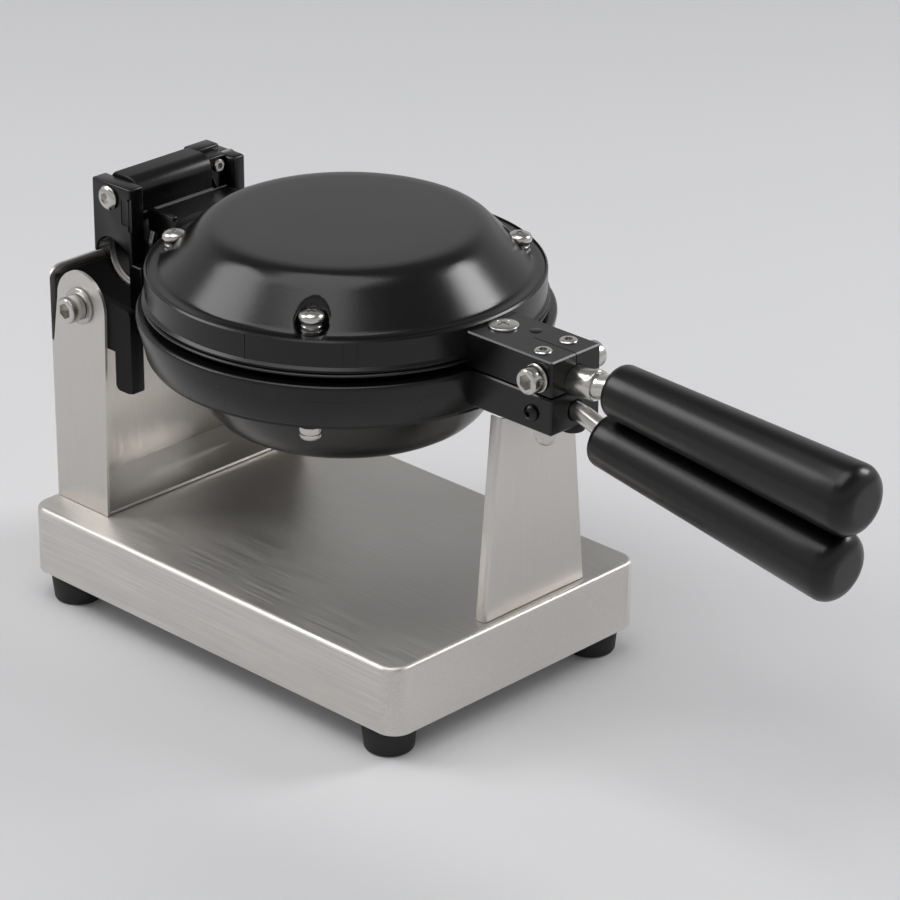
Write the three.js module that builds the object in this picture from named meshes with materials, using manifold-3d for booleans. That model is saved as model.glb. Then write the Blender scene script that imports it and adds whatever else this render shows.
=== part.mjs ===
// Bubble waffle maker: a stainless tray on four feet, a rear pedestal whose bearing lets the
// whole iron turn over, a front pedestal on which the iron rests, and two hinged pans with
// round-celled baking plates. Millimetres, +Z up, +X from the rear pedestal to the grips.
import * as THREE from "three";
import { mergeVertices } from "three/addons/utils/BufferGeometryUtils.js";
import Module from "manifold-3d";

const wasm = await Module();
wasm.setup();

// Overall layout, with the middle of the pans at X and Y zero while it is built
const turningAxisHeight = 174.5;
const clearance = 0.3;
const overrun = 1;

// Facets round a full turn, by the size of what is round
const panFacets = 32;
const middleFacets = 16;
const smallFacets = 8;
const cornerFacets = 4;
const hexagonSides = 6;

// Parts of a size that shape crowns, corners and rounds
const screwCrownShare = 0.78;
const domeShoulderShare = 0.8;
const domeKneeShare = 0.28;
const mouthShoulderShare = 0.3;
const domeScrewBrimShare = 0.6;
const domeScrewBrowShare = 0.85;
const acornCapShare = 0.86;

// Base tray, its bottom plate and its feet
const trayWidth = 167.5;
const trayTopHeight = 50;
const traySkirtBottom = 15.2;
const traySheet = 1.5;
const trayCornerRadius = 10;
const trayEdgeRadius = 3;
const trayEdgeSteps = 3;
const bottomPlateSheet = 1.5;
const bottomPlateInset = 0.1;
const footTopRadius = 13.4;
const footBottomRadius = 12;
const footEdgeRadius = 1.5;
const footInsetX = 18;
const footInsetY = 14.5;
const footRecessRadius = 6.5;
const footRecessDepth = 6;
const footScrewHeadRadius = 5;
const footScrewHeadHeight = 3.2;
const footScrewRadius = 2.5;
const footScrewReach = 4;

// Rear pedestal, one bent sheet: a web, two ears and a floor flange
const pedestalSheet = 1.6;
const pedestalHalfWidth = 67;
const pedestalBendRadius = 4;
const pedestalRearInset = 0.35;
const pedestalFootDepth = 39.5;
const pedestalShoulderDrop = 3;
const pedestalShoulderRadius = 9;
const pedestalTongueRadius = 33;
const earTopRadius = 17.4;
const earTopForward = 25.2;
const earBoltDrop = 15.9;
const earNeckDrop = 40.5;
const floorFlangeGap = 0.8;

// Black carrier inside the pedestal: a back plate with two cheeks that hang in front of the ears
const carrierPlate = 2.4;
const cheekThickness = 4;
const carrierDrop = 52.5;
const carrierCornerRadius = 12;
const cheekTopDrop = 7.5;
const cheekLegWidth = 22;
const cheekLegForward = 58;
const cheekLegDrop = 57.5;
const cheekLegRadius = 8;
const cheekArmRise = 20;
const cheekFrontDrop = 39.5;

// Side bolts with washers
const sideBoltRadius = 4;
const sideBoltHeadRadius = 6.6;
const sideBoltHeadHeight = 8;
const sideBoltSocketRadius = 3.4;
const sideBoltSocketDepth = 4;
const sideWasherRadius = 9.2;
const sideWasherThickness = 1.6;

// Turning bearing: a steel ring, a black face, the spindle and its hub
const bearingRingRadius = 31;
const bearingRingWall = 3.5;
const bearingThickness = 3.2;
const bearingRingForward = 1.2;
const bearingFaceRecess = 0.7;
const spindleRadius = 8;
const spindleFlangeRadius = 12;
const spindleFlangeThickness = 4;
const spindleTail = 9;
const hubRadius = 18.2;
const hubNeckRadius = 14.5;
const hubRingWidth = 3;
const hubRingProud = 0.6;
const hubNeckLength = 7;

// Front pedestal, a tapered sheet with narrow return flanges, let through a slot in the tray
const frontPedestalInset = 5;
const frontPedestalGap = 4.95;
const frontPedestalSide = 10;
const frontPedestalFootHalfWidth = 34.5;
const frontPedestalTopHalfWidth = 25;
const frontPedestalReturn = 4;
const frontPedestalTail = 24;
const frontPedestalTailHalfWidth = 26;

// Pans: aluminium rings that carry the plates, covers, arms and hinge
const lowerRimRadius = 100;
const lowerRimLip = 3.4;
const lowerSkirtInset = 4.4;
const lowerRingDepth = 22;
const upperFlangeInset = 3.5;
const upperFlangeLow = 2.8;
const upperFlangeHigh = 5.6;
const upperRimInset = 4.6;
const upperRingHeight = 20;
const partingRecessInset = 7;
const partingRecessHeight = 2.2;
const rimEdge = 0.9;
const ringBoreInset = 15.4;
const ringFlangeInset = 22;
const plateHold = 0.6;
const coverSeatInset = 5.5;
const coverSeatDepth = 2.4;

// Baking plates with round cells
const plateThickness = 12;
const webHalfGap = 2.2;
const plateRimWall = 2;
const cellRadius = 11.4;
const cellDepth = 9;
const cellPitch = 26.4;
const cellRings = 3;
const cellFacets = 8;
const cellSteps = 2;

// Covers over the heaters
const coverSheet = 1.5;
const domeBaseInset = 12.7;
const domeTopInset = 34.7;
const domeHeight = 42;
const domeFillet = 4;
const domeBrow = 7;
const bowlTopInset = 18;
const bowlFlangeInset = 5.8;
const bowlDepth = 55.5;
const bowlBottomInset = 42;
const bowlRound = 17;
const scallopRadius = 8.4;
const scallopWall = 1.5;

// Cover screws on their posts
const coverScrewInset = 16.5;
const lowerScrewInset = 11;
const coverScrewFrontAngle = 55;
const coverScrewRearAngle = 147;
const coverScrewHeadRadius = 5.9;
const coverScrewHeadHeight = 4;
const coverScrewPostRadius = 4.2;
const coverScrewPostHeight = 6.5;
const coverScrewShankRadius = 2.4;
const lowerScrewReach = 8;
const lowerScrewHeadRadius = 4.6;
const lowerScrewHeadHeight = 3.4;

// Heaters: one bent tube behind each plate, with a pressing plate
const heaterTubeRadius = 3.2;
const heaterInset = 48;
const heaterGapAngle = 24;
const heaterFacets = 3;
const heaterSteps = 24;
const pressPlateThickness = 1.5;
const pressPlateInset = 34;

// Front arms, split at the parting plane
const armLength = 47.8;
const armHalfWidth = 16.1;
const armHalfHeight = 18.1;
const armEdge = 1.4;
const armSplit = 0.35;
const rodInset = 26;

// Rods and grips
const upperRodHeight = 5.3;
const upperRodRadius = 6;
const upperRodRise = 5;
const upperSleeveRadius = 7.4;
const upperSleeveLength = 14;
const upperSleeveInset = 12;
const upperGripHeight = 8.2;
const upperGripDroop = 4;
const upperRodShown = 24.5;
const lowerRodDepth = 9.6;
const lowerRodRadius = 4.6;
const lowerRodShown = 17;
const lowerRodDrop = 4.2;
const lowerGripDepth = 17.9;
const lowerGripDroop = 7.4;
const rodSteps = 16;
const gripLength = 143;
const gripRootRadius = 12.9;
const gripEndRadius = 16.9;
const gripMouthRound = 3;
const gripEndRound = 9;
const gripEndStart = 75;
const gripBoreDepth = 60;

// Fasteners on the arms
const armBoltBack = 8.8;
const armBoltHeight = 8.6;
const armBoltRadius = 3;
const armBoltHeadRadius = 6.3;
const armBoltHeadHeight = 7.6;
const armBoltSocketRadius = 3.2;
const armBoltSocketDepth = 4;
const armTopScrewBack = 45.2;
const armTopScrewHeadRadius = 6.4;
const armTopScrewHeadHeight = 2.4;
const clampScrewBack = 12.7;
const clampScrewSpread = 8.4;
const clampScrewRadius = 3.6;
const clampScrewDepth = 2.6;
const clampScrewProud = 0.8;
const domeScrewBack = 12;
const domeScrewDepth = 9.6;
const domeScrewRadius = 4;
const domeScrewProud = 2.6;
const acornNutBack = 10;
const acornNutSide = 8.6;
const acornNutRadius = 6;
const acornNutHexHeight = 4;
const bumperBack = 8;
const bumperSide = 7;
const bumperRadius = 6;
const bumperHeight = 5.5;
const bumperScrewRadius = 2;

// Hinge: a bracket on the turning side, a barrel on the lid and one pin
const hingePinSetback = 22.6;
const hingePinHeight = 30.9;
const hingePinRadius = 4;
const hingePinHeadRadius = 5.6;
const hingePinHeadHeight = 2.6;
const hingePinSocketRadius = 2.4;
const hingePinSocketDepth = 1.6;
const barrelRadius = 11;
const barrelHalfWidth = 31.2;
const barrelFlat = 9;
const runningGap = 0.05;
const hingeEarWidth = 9;
const hingeEarRear = 12.6;
const bearingRunningGap = 0.35;
const hingeEarFront = 15;
const hingeEarTop = 38.3;
const hingeEarEdge = 1.2;
const hingeArchRadius = 9.5;
const hingeArchEnd = 60;
const hingeWallGap = 1;
const hingeWallThickness = 9;
const hingeWallDepth = 25;
const hingeShelfHeight = 12;
const wallBossRadius = 13;
const lidArmHalfWidth = 26;
const lidArmTop = 22.5;
const lidArmFillet = 3;
const rearPadHalfWidth = 31;
const rearPadDepth = 20;
const bracketScrewSide = 24.5;
const bracketScrewDepth = 12;
const bracketScrewRadius = 2.5;
const bracketScrewHeadRadius = 4.4;
const bracketScrewHeadHeight = 4.4;
const bracketScrewReach = 8;
const lockScrewRadius = 3.2;
const lockScrewProud = 2;
const lockScrewDepth = 3;

// Heights that hang from the turning axis
const pedestalShoulderHeight = turningAxisHeight - pedestalShoulderDrop;
const earBoltHeight = turningAxisHeight - earBoltDrop;
const earNeckHeight = turningAxisHeight - earNeckDrop;
const carrierBottomHeight = turningAxisHeight - carrierDrop;
const cheekTopHeight = turningAxisHeight - cheekTopDrop;
const cheekLegBottomHeight = turningAxisHeight - cheekLegDrop;

// Radii and circles that follow the rim of the pans
const lowerSkirtRadius = lowerRimRadius - lowerSkirtInset;
const upperFlangeRadius = lowerRimRadius - upperFlangeInset;
const upperRimRadius = lowerRimRadius - upperRimInset;
const partingRecessRadius = lowerRimRadius - partingRecessInset;
const ringBoreRadius = lowerRimRadius - ringBoreInset;
const ringFlangeRadius = lowerRimRadius - ringFlangeInset;
const coverSeatRadius = lowerRimRadius - coverSeatInset;
const domeBaseRadius = lowerRimRadius - domeBaseInset;
const domeTopRadius = lowerRimRadius - domeTopInset;
const bowlTopRadius = lowerRimRadius - bowlTopInset;
const bowlFlangeRadius = lowerRimRadius - bowlFlangeInset;
const bowlBottomRadius = lowerRimRadius - bowlBottomInset;
const coverScrewCircle = lowerRimRadius - coverScrewInset;
const lowerScrewCircle = lowerRimRadius - lowerScrewInset;
const heaterCircle = lowerRimRadius - heaterInset;
const pressPlateRadius = lowerRimRadius - pressPlateInset;

// Places along X that several pieces share, from the pans outwards to both ends of the tray
const wallFrontX = -lowerRimRadius - hingeWallGap;
const wallRearX = wallFrontX - hingeWallThickness;
const hingePinX = -lowerRimRadius - hingePinSetback;
const bearingFront = hingePinX - hingeEarRear - bearingRunningGap;
const bearingRear = bearingFront - bearingThickness;
const webFront = bearingRear - clearance;
const rearFace = webFront - pedestalSheet;
const trayRear = rearFace - pedestalRearInset;
const returnRear = lowerRimRadius + frontPedestalGap;
const frontBack = returnRear + frontPedestalReturn;
const frontFace = frontBack + pedestalSheet;
const trayFront = frontFace + frontPedestalInset;
const armReach = lowerRimRadius + armLength;
const armRoot = ringBoreRadius - armHalfWidth;
const upperGripStart = armReach + upperRodShown;
const lowerGripStart = armReach + lowerRodShown;

// Other values that several pieces share
const earInner = pedestalHalfWidth - pedestalSheet;
const cheekOuter = earInner - clearance;
const cheekInner = cheekOuter - cheekThickness;
const earBoltX = rearFace + earTopForward;
const hingeEarInner = barrelHalfWidth + clearance;
const hingeEarOuter = hingeEarInner + hingeEarWidth;
const hingePinZ = turningAxisHeight + hingePinHeight;
const plateRadius = ringBoreRadius - clearance;
const plateBack = webHalfGap + plateThickness;

// Finishes, one fresh material for each mesh
const finishes = {
  steel: { color: 0xb6b2ab, roughness: 0.34, metalness: 1 },
  bright: { color: 0xd2d0cc, roughness: 0.16, metalness: 1 },
  casting: { color: 0x232425, roughness: 0.5, metalness: 0.1 },
  coated: { color: 0x47484b, roughness: 0.42, metalness: 0.25 },
  plate: { color: 0x2c2b2a, roughness: 0.38, metalness: 0.3 },
  heater: { color: 0x6d6a64, roughness: 0.5, metalness: 0.9 },
  grip: { color: 0x151516, roughness: 0.45, metalness: 0 },
  rubber: { color: 0x1b1b1c, roughness: 0.8, metalness: 0 },
};

// Solids: closed geometries joined and cut
function solid(geometry) {
  const bare = geometry.index ? geometry.toNonIndexed() : geometry.clone();
  bare.deleteAttribute("normal");
  bare.deleteAttribute("uv");
  const merged = mergeVertices(bare, 1e-4);
  const vertProperties = new Float32Array(merged.attributes.position.array);
  const triVerts = new Uint32Array(merged.index.array);
  const made = new wasm.Manifold(new wasm.Mesh({ numProp: 3, vertProperties, triVerts }));
  if (made.volume() >= 0) return made;
  for (let i = 0; i < triVerts.length; i += 3) {
    const first = triVerts[i];
    triVerts[i] = triVerts[i + 1];
    triVerts[i + 1] = first;
  }
  return new wasm.Manifold(new wasm.Mesh({ numProp: 3, vertProperties, triVerts }));
}

function geometryOf(body) {
  const mesh = body.getMesh();
  const places = new Float32Array(mesh.numVert * 3);
  for (let i = 0; i < mesh.numVert; i++) {
    const from = i * mesh.numProp;
    places.set(mesh.vertProperties.subarray(from, from + 3), i * 3);
  }
  const geometry = new THREE.BufferGeometry();
  geometry.setAttribute("position", new THREE.BufferAttribute(places, 3));
  geometry.setIndex(new THREE.BufferAttribute(new Uint32Array(mesh.triVerts), 1));
  const loose = geometry.toNonIndexed();
  loose.computeVertexNormals();
  return loose;
}

function joined(...bodies) {
  return bodies.reduce((whole, body) => whole.add(body));
}

function cut(body, ...tools) {
  return tools.reduce((whole, tool) => whole.subtract(tool), body);
}

// A profile of [radius, height] pairs turned about the Z axis, left open only on the axis
function turned(profile, facets = middleFacets) {
  const points = profile.map(([r, z]) => new THREE.Vector2(r, z));
  const closed = profile[0][0] > 0 || profile[profile.length - 1][0] > 0;
  if (closed) points.push(points[0].clone());
  return new THREE.LatheGeometry(points, facets).rotateX(Math.PI / 2);
}

function outline(points) {
  return new THREE.Shape(points.map(([a, b]) => new THREE.Vector2(a, b)));
}

function prism(shape, depth, curveSegments = cornerFacets) {
  return new THREE.ExtrudeGeometry(shape, { depth, curveSegments, bevelEnabled: false });
}

// A shape drawn in X and Y, from one height to another
function slabZ(shape, low, high, segments) {
  return solid(prism(shape, high - low, segments).translate(0, 0, low));
}

// A shape drawn in X and Z, from one side to the other
function slabY(shape, near, far, segments) {
  return solid(prism(shape, far - near, segments).rotateX(Math.PI / 2).translate(0, far, 0));
}

// A shape drawn in Y and Z, from the rear to the front
function slabX(shape, rear, front, segments) {
  const turn = new THREE.Matrix4().set(0, 0, 1, rear, 1, 0, 0, 0, 0, 1, 0, 0, 0, 0, 0, 1);
  return solid(prism(shape, front - rear, segments).applyMatrix4(turn));
}

function block(x0, x1, y0, y1, z0, z1) {
  const box = new THREE.BoxGeometry(x1 - x0, y1 - y0, z1 - z0);
  return solid(box.translate((x0 + x1) / 2, (y0 + y1) / 2, (z0 + z1) / 2));
}

function alongZ(profile, x, y, facets) {
  return solid(turned(profile, facets).translate(x, y, 0));
}

// A profile of [radius, distance] pairs turned about a line along X
function alongX(profile, y, z, facets) {
  return solid(turned(profile, facets).rotateY(Math.PI / 2).translate(0, y, z));
}

// A profile of [radius, distance] pairs turned about a line along Y
function alongY(profile, x, z, facets) {
  return solid(turned(profile, facets).rotateX(-Math.PI / 2).translate(x, 0, z));
}

function rodProfile(radius, from, to) {
  return [[0, from], [radius, from], [radius, to], [0, to]];
}

// The corner radius of a faceted bore whose flats keep the running gap to a shaft
function runningBore(radius, facets) {
  return (radius + runningGap) / Math.cos(Math.PI / facets);
}

function roundedBar(radius, from, to, edge) {
  const side = Math.sign(to - from) * edge;
  return [
    [0, from],
    [radius - edge, from],
    [radius, from + side],
    [radius, to - side],
    [radius - edge, to],
    [0, to],
  ];
}

function roundedRectangle(x0, x1, y0, y1, radius) {
  const shape = new THREE.Shape();
  shape.moveTo(x0 + radius, y0);
  shape.lineTo(x1 - radius, y0);
  shape.absarc(x1 - radius, y0 + radius, radius, -Math.PI / 2, 0, false);
  shape.lineTo(x1, y1 - radius);
  shape.absarc(x1 - radius, y1 - radius, radius, 0, Math.PI / 2, false);
  shape.lineTo(x0 + radius, y1);
  shape.absarc(x0 + radius, y1 - radius, radius, Math.PI / 2, Math.PI, false);
  shape.lineTo(x0, y0 + radius);
  shape.absarc(x0 + radius, y0 + radius, radius, Math.PI, 1.5 * Math.PI, false);
  return shape;
}

function chamferedRectangle(a0, a1, b0, b1, edge) {
  return outline([
    [a0 + edge, b0],
    [a1 - edge, b0],
    [a1, b0 + edge],
    [a1, b1 - edge],
    [a1 - edge, b1],
    [a0 + edge, b1],
    [a0, b1 - edge],
    [a0, b0 + edge],
  ]);
}

// Points of a circular arc, in degrees, as pairs
function arc(a, b, radius, from, to, steps = cornerFacets) {
  const points = [];
  for (let i = 0; i <= steps; i++) {
    const angle = THREE.MathUtils.degToRad(from + ((to - from) * i) / steps);
    points.push([a + radius * Math.cos(angle), b + radius * Math.sin(angle)]);
  }
  return points;
}

function mirroredY(body) {
  return body.mirror([0, 1, 0]);
}

// The assembly: one group for the fixed base, one for what turns over, one for the lid
const machine = new THREE.Group();
const base = new THREE.Group();
const iron = new THREE.Group();
const lid = new THREE.Group();
machine.add(base, iron);
iron.add(lid);

function piece(group, name, body, finish) {
  const mesh = new THREE.Mesh(geometryOf(body), new THREE.MeshStandardMaterial(finishes[finish]));
  mesh.name = name;
  group.add(mesh);
  return mesh;
}

// Base tray: the top and skirt of one folded sheet, open below
const slotHalfWidth = frontPedestalTailHalfWidth + clearance;

function trayShell() {
  const halfWidth = trayWidth / 2;
  const inner = trayEdgeRadius;
  const shape = roundedRectangle(
    trayRear + inner,
    trayFront - inner,
    -halfWidth + inner,
    halfWidth - inner,
    trayCornerRadius - inner,
  );
  const body = new THREE.ExtrudeGeometry(shape, {
    depth: trayTopHeight - traySkirtBottom,
    curveSegments: cornerFacets,
    bevelEnabled: true,
    bevelThickness: trayEdgeRadius,
    bevelSize: trayEdgeRadius,
    bevelSegments: trayEdgeSteps,
  });
  const outer = solid(body.translate(0, 0, traySkirtBottom - trayEdgeRadius));
  const low = traySkirtBottom - 2 * trayEdgeRadius - overrun;
  const under = block(
    trayRear - overrun,
    trayFront + overrun,
    -trayWidth,
    trayWidth,
    low,
    traySkirtBottom,
  );
  const hollow = slabZ(
    roundedRectangle(
      trayRear + traySheet,
      trayFront - traySheet,
      -halfWidth + traySheet,
      halfWidth - traySheet,
      trayCornerRadius - traySheet,
    ),
    low,
    trayTopHeight - traySheet,
  );
  const slot = block(
    frontBack - clearance,
    frontFace + clearance,
    frontPedestalSide - slotHalfWidth,
    frontPedestalSide + slotHalfWidth,
    trayTopHeight - traySheet - overrun,
    trayTopHeight + overrun,
  );
  return cut(outer, under, hollow, slot);
}

piece(base, "base_tray", trayShell(), "steel");

// Bottom plate just inside the skirt, with a hole for each foot screw
const plateLow = traySkirtBottom + bottomPlateInset;
const plateHigh = plateLow + bottomPlateSheet;
const footPlaces = [
  ["front_near", 1, -1],
  ["front_far", 1, 1],
  ["rear_near", -1, -1],
  ["rear_far", -1, 1],
].map(([name, sideX, sideY]) => [
  name,
  (trayFront + trayRear) / 2 + sideX * ((trayFront - trayRear) / 2 - footInsetX),
  sideY * (trayWidth / 2 - footInsetY),
]);

function bottomPlate() {
  const inset = traySheet + clearance;
  const side = trayWidth / 2 - inset;
  const corner = trayCornerRadius - inset;
  const shape = roundedRectangle(trayRear + inset, trayFront - inset, -side, side, corner);
  const plate = slabZ(shape, plateLow, plateHigh);
  const holes = footPlaces.map(([, x, y]) =>
    alongZ(
      rodProfile(footScrewRadius + clearance, plateLow - overrun, plateHigh + overrun),
      x,
      y,
      smallFacets,
    ),
  );
  return cut(plate, ...holes);
}

piece(base, "base_plate", bottomPlate(), "steel");

// Tapered rubber feet, each with a screw let into it from below
function foot(x, y) {
  const top = plateLow - clearance;
  const seat = footRecessDepth;
  return alongZ(
    [
      [footRecessRadius, 0],
      [footBottomRadius - footEdgeRadius, 0],
      [footBottomRadius, footEdgeRadius],
      [footTopRadius, top],
      [footScrewRadius + clearance, top],
      [footScrewRadius + clearance, seat],
      [footRecessRadius, seat],
    ],
    x,
    y,
    middleFacets,
  );
}

function footScrew(x, y) {
  const seat = footRecessDepth - clearance;
  const top = plateHigh + footScrewReach;
  return alongZ(
    [
      [0, seat - footScrewHeadHeight],
      [footScrewHeadRadius, seat - footScrewHeadHeight],
      [footScrewHeadRadius, seat],
      [footScrewRadius, seat],
      [footScrewRadius, top],
      [0, top],
    ],
    x,
    y,
    smallFacets,
  );
}

for (const [name, x, y] of footPlaces) {
  piece(base, "foot_" + name, foot(x, y), "rubber");
  piece(base, "foot_screw_" + name, footScrew(x, y), "bright");
}

// Rear pedestal: the plan section is a U, trimmed to the outlines of the web and the ears
const pedestalFloor = trayTopHeight + clearance;

function webOutline() {
  const shape = new THREE.Shape();
  const side = pedestalHalfWidth + overrun;
  const corner = pedestalHalfWidth - pedestalShoulderRadius;
  const rise = turningAxisHeight - pedestalShoulderHeight;
  const start = Math.asin(rise / pedestalTongueRadius);
  shape.moveTo(-side, pedestalFloor - overrun);
  shape.lineTo(side, pedestalFloor - overrun);
  shape.lineTo(side, earNeckHeight);
  shape.lineTo(pedestalHalfWidth, earNeckHeight);
  shape.lineTo(pedestalHalfWidth, pedestalShoulderHeight - pedestalShoulderRadius);
  shape.absarc(
    corner,
    pedestalShoulderHeight - pedestalShoulderRadius,
    pedestalShoulderRadius,
    0,
    Math.PI / 2,
    false,
  );
  shape.absarc(0, turningAxisHeight, pedestalTongueRadius, -start, Math.PI + start, false);
  shape.absarc(
    -corner,
    pedestalShoulderHeight - pedestalShoulderRadius,
    pedestalShoulderRadius,
    Math.PI / 2,
    Math.PI,
    false,
  );
  shape.lineTo(-pedestalHalfWidth, earNeckHeight);
  shape.lineTo(-side, earNeckHeight);
  return shape;
}

function earOutline() {
  const front = rearFace + pedestalFootDepth;
  const neck = rearFace + pedestalBendRadius;
  return outline([
    [rearFace, pedestalFloor],
    [front, pedestalFloor],
    ...arc(earBoltX, earBoltHeight, earTopRadius, -2, 180, 3 * cornerFacets),
    [neck, earNeckHeight],
    [rearFace, earNeckHeight],
  ]);
}

function rearPedestal() {
  const front = rearFace + 2 * pedestalFootDepth;
  const top = turningAxisHeight + pedestalTongueRadius + overrun;
  const bend = pedestalBendRadius;
  const plan = slabZ(
    roundedRectangle(rearFace, front, -pedestalHalfWidth, pedestalHalfWidth, bend),
    pedestalFloor,
    top,
  );
  const inside = slabZ(
    roundedRectangle(
      webFront,
      front + pedestalFootDepth,
      -earInner,
      earInner,
      bend - pedestalSheet,
    ),
    pedestalFloor - overrun,
    top + overrun,
  );
  const walls = cut(plan, inside);
  const web = slabX(webOutline(), rearFace - overrun, webFront + bend, 3 * cornerFacets);
  const ears = slabY(earOutline(), -pedestalHalfWidth - overrun, pedestalHalfWidth + overrun);
  const rearZone = block(
    rearFace - overrun,
    webFront,
    -trayWidth,
    trayWidth,
    pedestalFloor - overrun,
    top + overrun,
  );
  const trimmed = joined(walls.intersect(web).intersect(rearZone), walls.intersect(ears));
  const flangeSide = earInner - floorFlangeGap;
  const flange = block(
    webFront - pedestalSheet / 2,
    rearFace + pedestalFootDepth - clearance,
    -flangeSide,
    flangeSide,
    pedestalFloor,
    pedestalFloor + pedestalSheet,
  );
  const bore = alongX(
    rodProfile(spindleFlangeRadius - 2 * clearance, rearFace - overrun, webFront + overrun),
    0,
    turningAxisHeight,
    middleFacets,
  );
  const boltBore = alongY(
    rodProfile(sideBoltRadius + clearance, -trayWidth, trayWidth),
    earBoltX,
    earBoltHeight,
    smallFacets,
  );
  return cut(joined(trimmed, flange), bore, boltBore);
}

piece(base, "rear_pedestal", rearPedestal(), "steel");

// Carrier: a black back plate round the bearing and two cheeks bolted inside the ears
function carrierBackOutline() {
  const corner = cheekOuter - carrierCornerRadius;
  const top = pedestalShoulderHeight - pedestalSheet;
  const round = carrierCornerRadius;
  return outline([
    [-cheekOuter, carrierBottomHeight],
    [cheekOuter, carrierBottomHeight],
    ...arc(corner, top - round, round, 0, 90),
    ...arc(-corner, top - round, round, 90, 180),
  ]);
}

function cheekOutline() {
  const front = webFront + cheekLegForward;
  const rear = bearingRear;
  const round = cheekLegRadius;
  const legRear = front - cheekLegWidth;
  const top = cheekTopHeight - round;
  const low = cheekLegBottomHeight + round;
  return outline([
    [rear, carrierBottomHeight + cheekArmRise],
    [legRear, carrierBottomHeight + cheekArmRise],
    ...arc(legRear + round, low, round, 180, 270),
    ...arc(front - round, low, round, 270, 360),
    [front, turningAxisHeight - cheekFrontDrop],
    ...arc(earBoltX, top, round, 0, 90),
    [rear, cheekTopHeight],
  ]);
}

function bearingCarrier() {
  const back = slabX(carrierBackOutline(), bearingRear, bearingRear + carrierPlate);
  const near = slabY(cheekOutline(), -cheekOuter, -cheekInner);
  const far = slabY(cheekOutline(), cheekInner, cheekOuter);
  const seat = alongX(
    rodProfile(bearingRingRadius + clearance, bearingRear - overrun, bearingFront + overrun),
    0,
    turningAxisHeight,
    panFacets,
  );
  const boltBore = alongY(
    rodProfile(sideBoltRadius + clearance, -trayWidth, trayWidth),
    earBoltX,
    earBoltHeight,
    smallFacets,
  );
  const bend = pedestalBendRadius;
  const room = slabZ(
    roundedRectangle(bearingRear, -rearFace, -cheekOuter, cheekOuter, bend),
    cheekLegBottomHeight - overrun,
    turningAxisHeight,
  );
  return cut(joined(back, near, far).intersect(room), seat, boltBore);
}

piece(base, "bearing_carrier", bearingCarrier(), "casting");

// Side bolts: a socket head and a washer outside each ear
function sideWasher() {
  const outside = pedestalHalfWidth + clearance;
  return alongY(
    [
      [sideBoltRadius + clearance, outside],
      [sideWasherRadius, outside],
      [sideWasherRadius, outside + sideWasherThickness],
      [sideBoltRadius + clearance, outside + sideWasherThickness],
    ],
    earBoltX,
    earBoltHeight,
    middleFacets,
  );
}

function sideBolt() {
  const seat = pedestalHalfWidth + sideWasherThickness + 2 * clearance;
  const face = seat + sideBoltHeadHeight;
  return alongY(
    [
      [0, cheekInner],
      [sideBoltRadius, cheekInner],
      [sideBoltRadius, seat],
      [sideBoltHeadRadius, seat],
      [sideBoltHeadRadius, face - sideWasherThickness / 2],
      [sideBoltHeadRadius - sideWasherThickness / 2, face],
      [sideBoltSocketRadius, face],
      [sideBoltSocketRadius, face - sideBoltSocketDepth],
      [0, face - sideBoltSocketDepth],
    ],
    earBoltX,
    earBoltHeight,
    smallFacets,
  );
}

piece(base, "side_washer_far", sideWasher(), "steel");
piece(base, "side_washer_near", mirroredY(sideWasher()), "steel");
piece(base, "side_bolt_far", sideBolt(), "bright");
piece(base, "side_bolt_near", mirroredY(sideBolt()), "bright");

// Bearing: a bright ring round a black face, both still, with the spindle through them
function bearingRing() {
  const inner = bearingRingRadius - bearingRingWall;
  const front = bearingFront + bearingRingForward;
  return alongX(
    [
      [inner, bearingRear],
      [bearingRingRadius, bearingRear],
      [bearingRingRadius, front - clearance],
      [bearingRingRadius - clearance, front],
      [inner, front],
    ],
    0,
    turningAxisHeight,
    panFacets,
  );
}

function bearingFace() {
  const outer = bearingRingRadius - bearingRingWall - clearance;
  const inner = runningBore(spindleRadius, panFacets);
  return alongX(
    [
      [inner, bearingRear],
      [outer, bearingRear],
      [outer, bearingFront - bearingFaceRecess],
      [inner, bearingFront - bearingFaceRecess],
    ],
    0,
    turningAxisHeight,
    panFacets,
  );
}

piece(base, "bearing_ring", bearingRing(), "bright");
piece(base, "bearing_face", bearingFace(), "casting");

// Front pedestal: its plate rises to the arm, with a shallow cradle that lets the arm turn
const restHeight = turningAxisHeight - armHalfHeight - clearance;

function frontPedestal() {
  const foot = frontPedestalFootHalfWidth;
  const top = frontPedestalTopHalfWidth;
  const tail = frontPedestalTailHalfWidth;
  const side = frontPedestalSide;
  const tailLow = trayTopHeight - traySheet - clearance - pedestalSheet;
  const face = outline([
    [side - foot, pedestalFloor],
    [side + foot, pedestalFloor],
    [side + top, restHeight],
    [side - top, restHeight],
  ]);
  const plate = slabX(face, frontBack, frontFace);
  const body = slabX(face, frontBack - frontPedestalReturn, frontFace);
  const innerFace = outline([
    [side - foot + pedestalSheet, pedestalFloor - overrun],
    [side + foot - pedestalSheet, pedestalFloor - overrun],
    [side + top - pedestalSheet, restHeight + overrun],
    [side - top + pedestalSheet, restHeight + overrun],
  ]);
  const hollow = slabX(innerFace, frontBack - 2 * frontPedestalReturn, frontBack);
  const neck = block(
    frontBack,
    frontFace,
    side - tail,
    side + tail,
    tailLow,
    pedestalFloor + overrun,
  );
  const tailPlate = block(
    frontFace - frontPedestalTail,
    frontFace,
    side - tail,
    side + tail,
    tailLow,
    tailLow + pedestalSheet,
  );
  const sweep = Math.hypot(armHalfWidth, armHalfHeight) + clearance;
  const cradle = alongX(
    rodProfile(sweep, frontBack - 2 * frontPedestalReturn, frontFace + overrun),
    0,
    turningAxisHeight,
    panFacets,
  );
  return cut(joined(cut(body, hollow), plate, neck, tailPlate), cradle);
}

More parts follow.
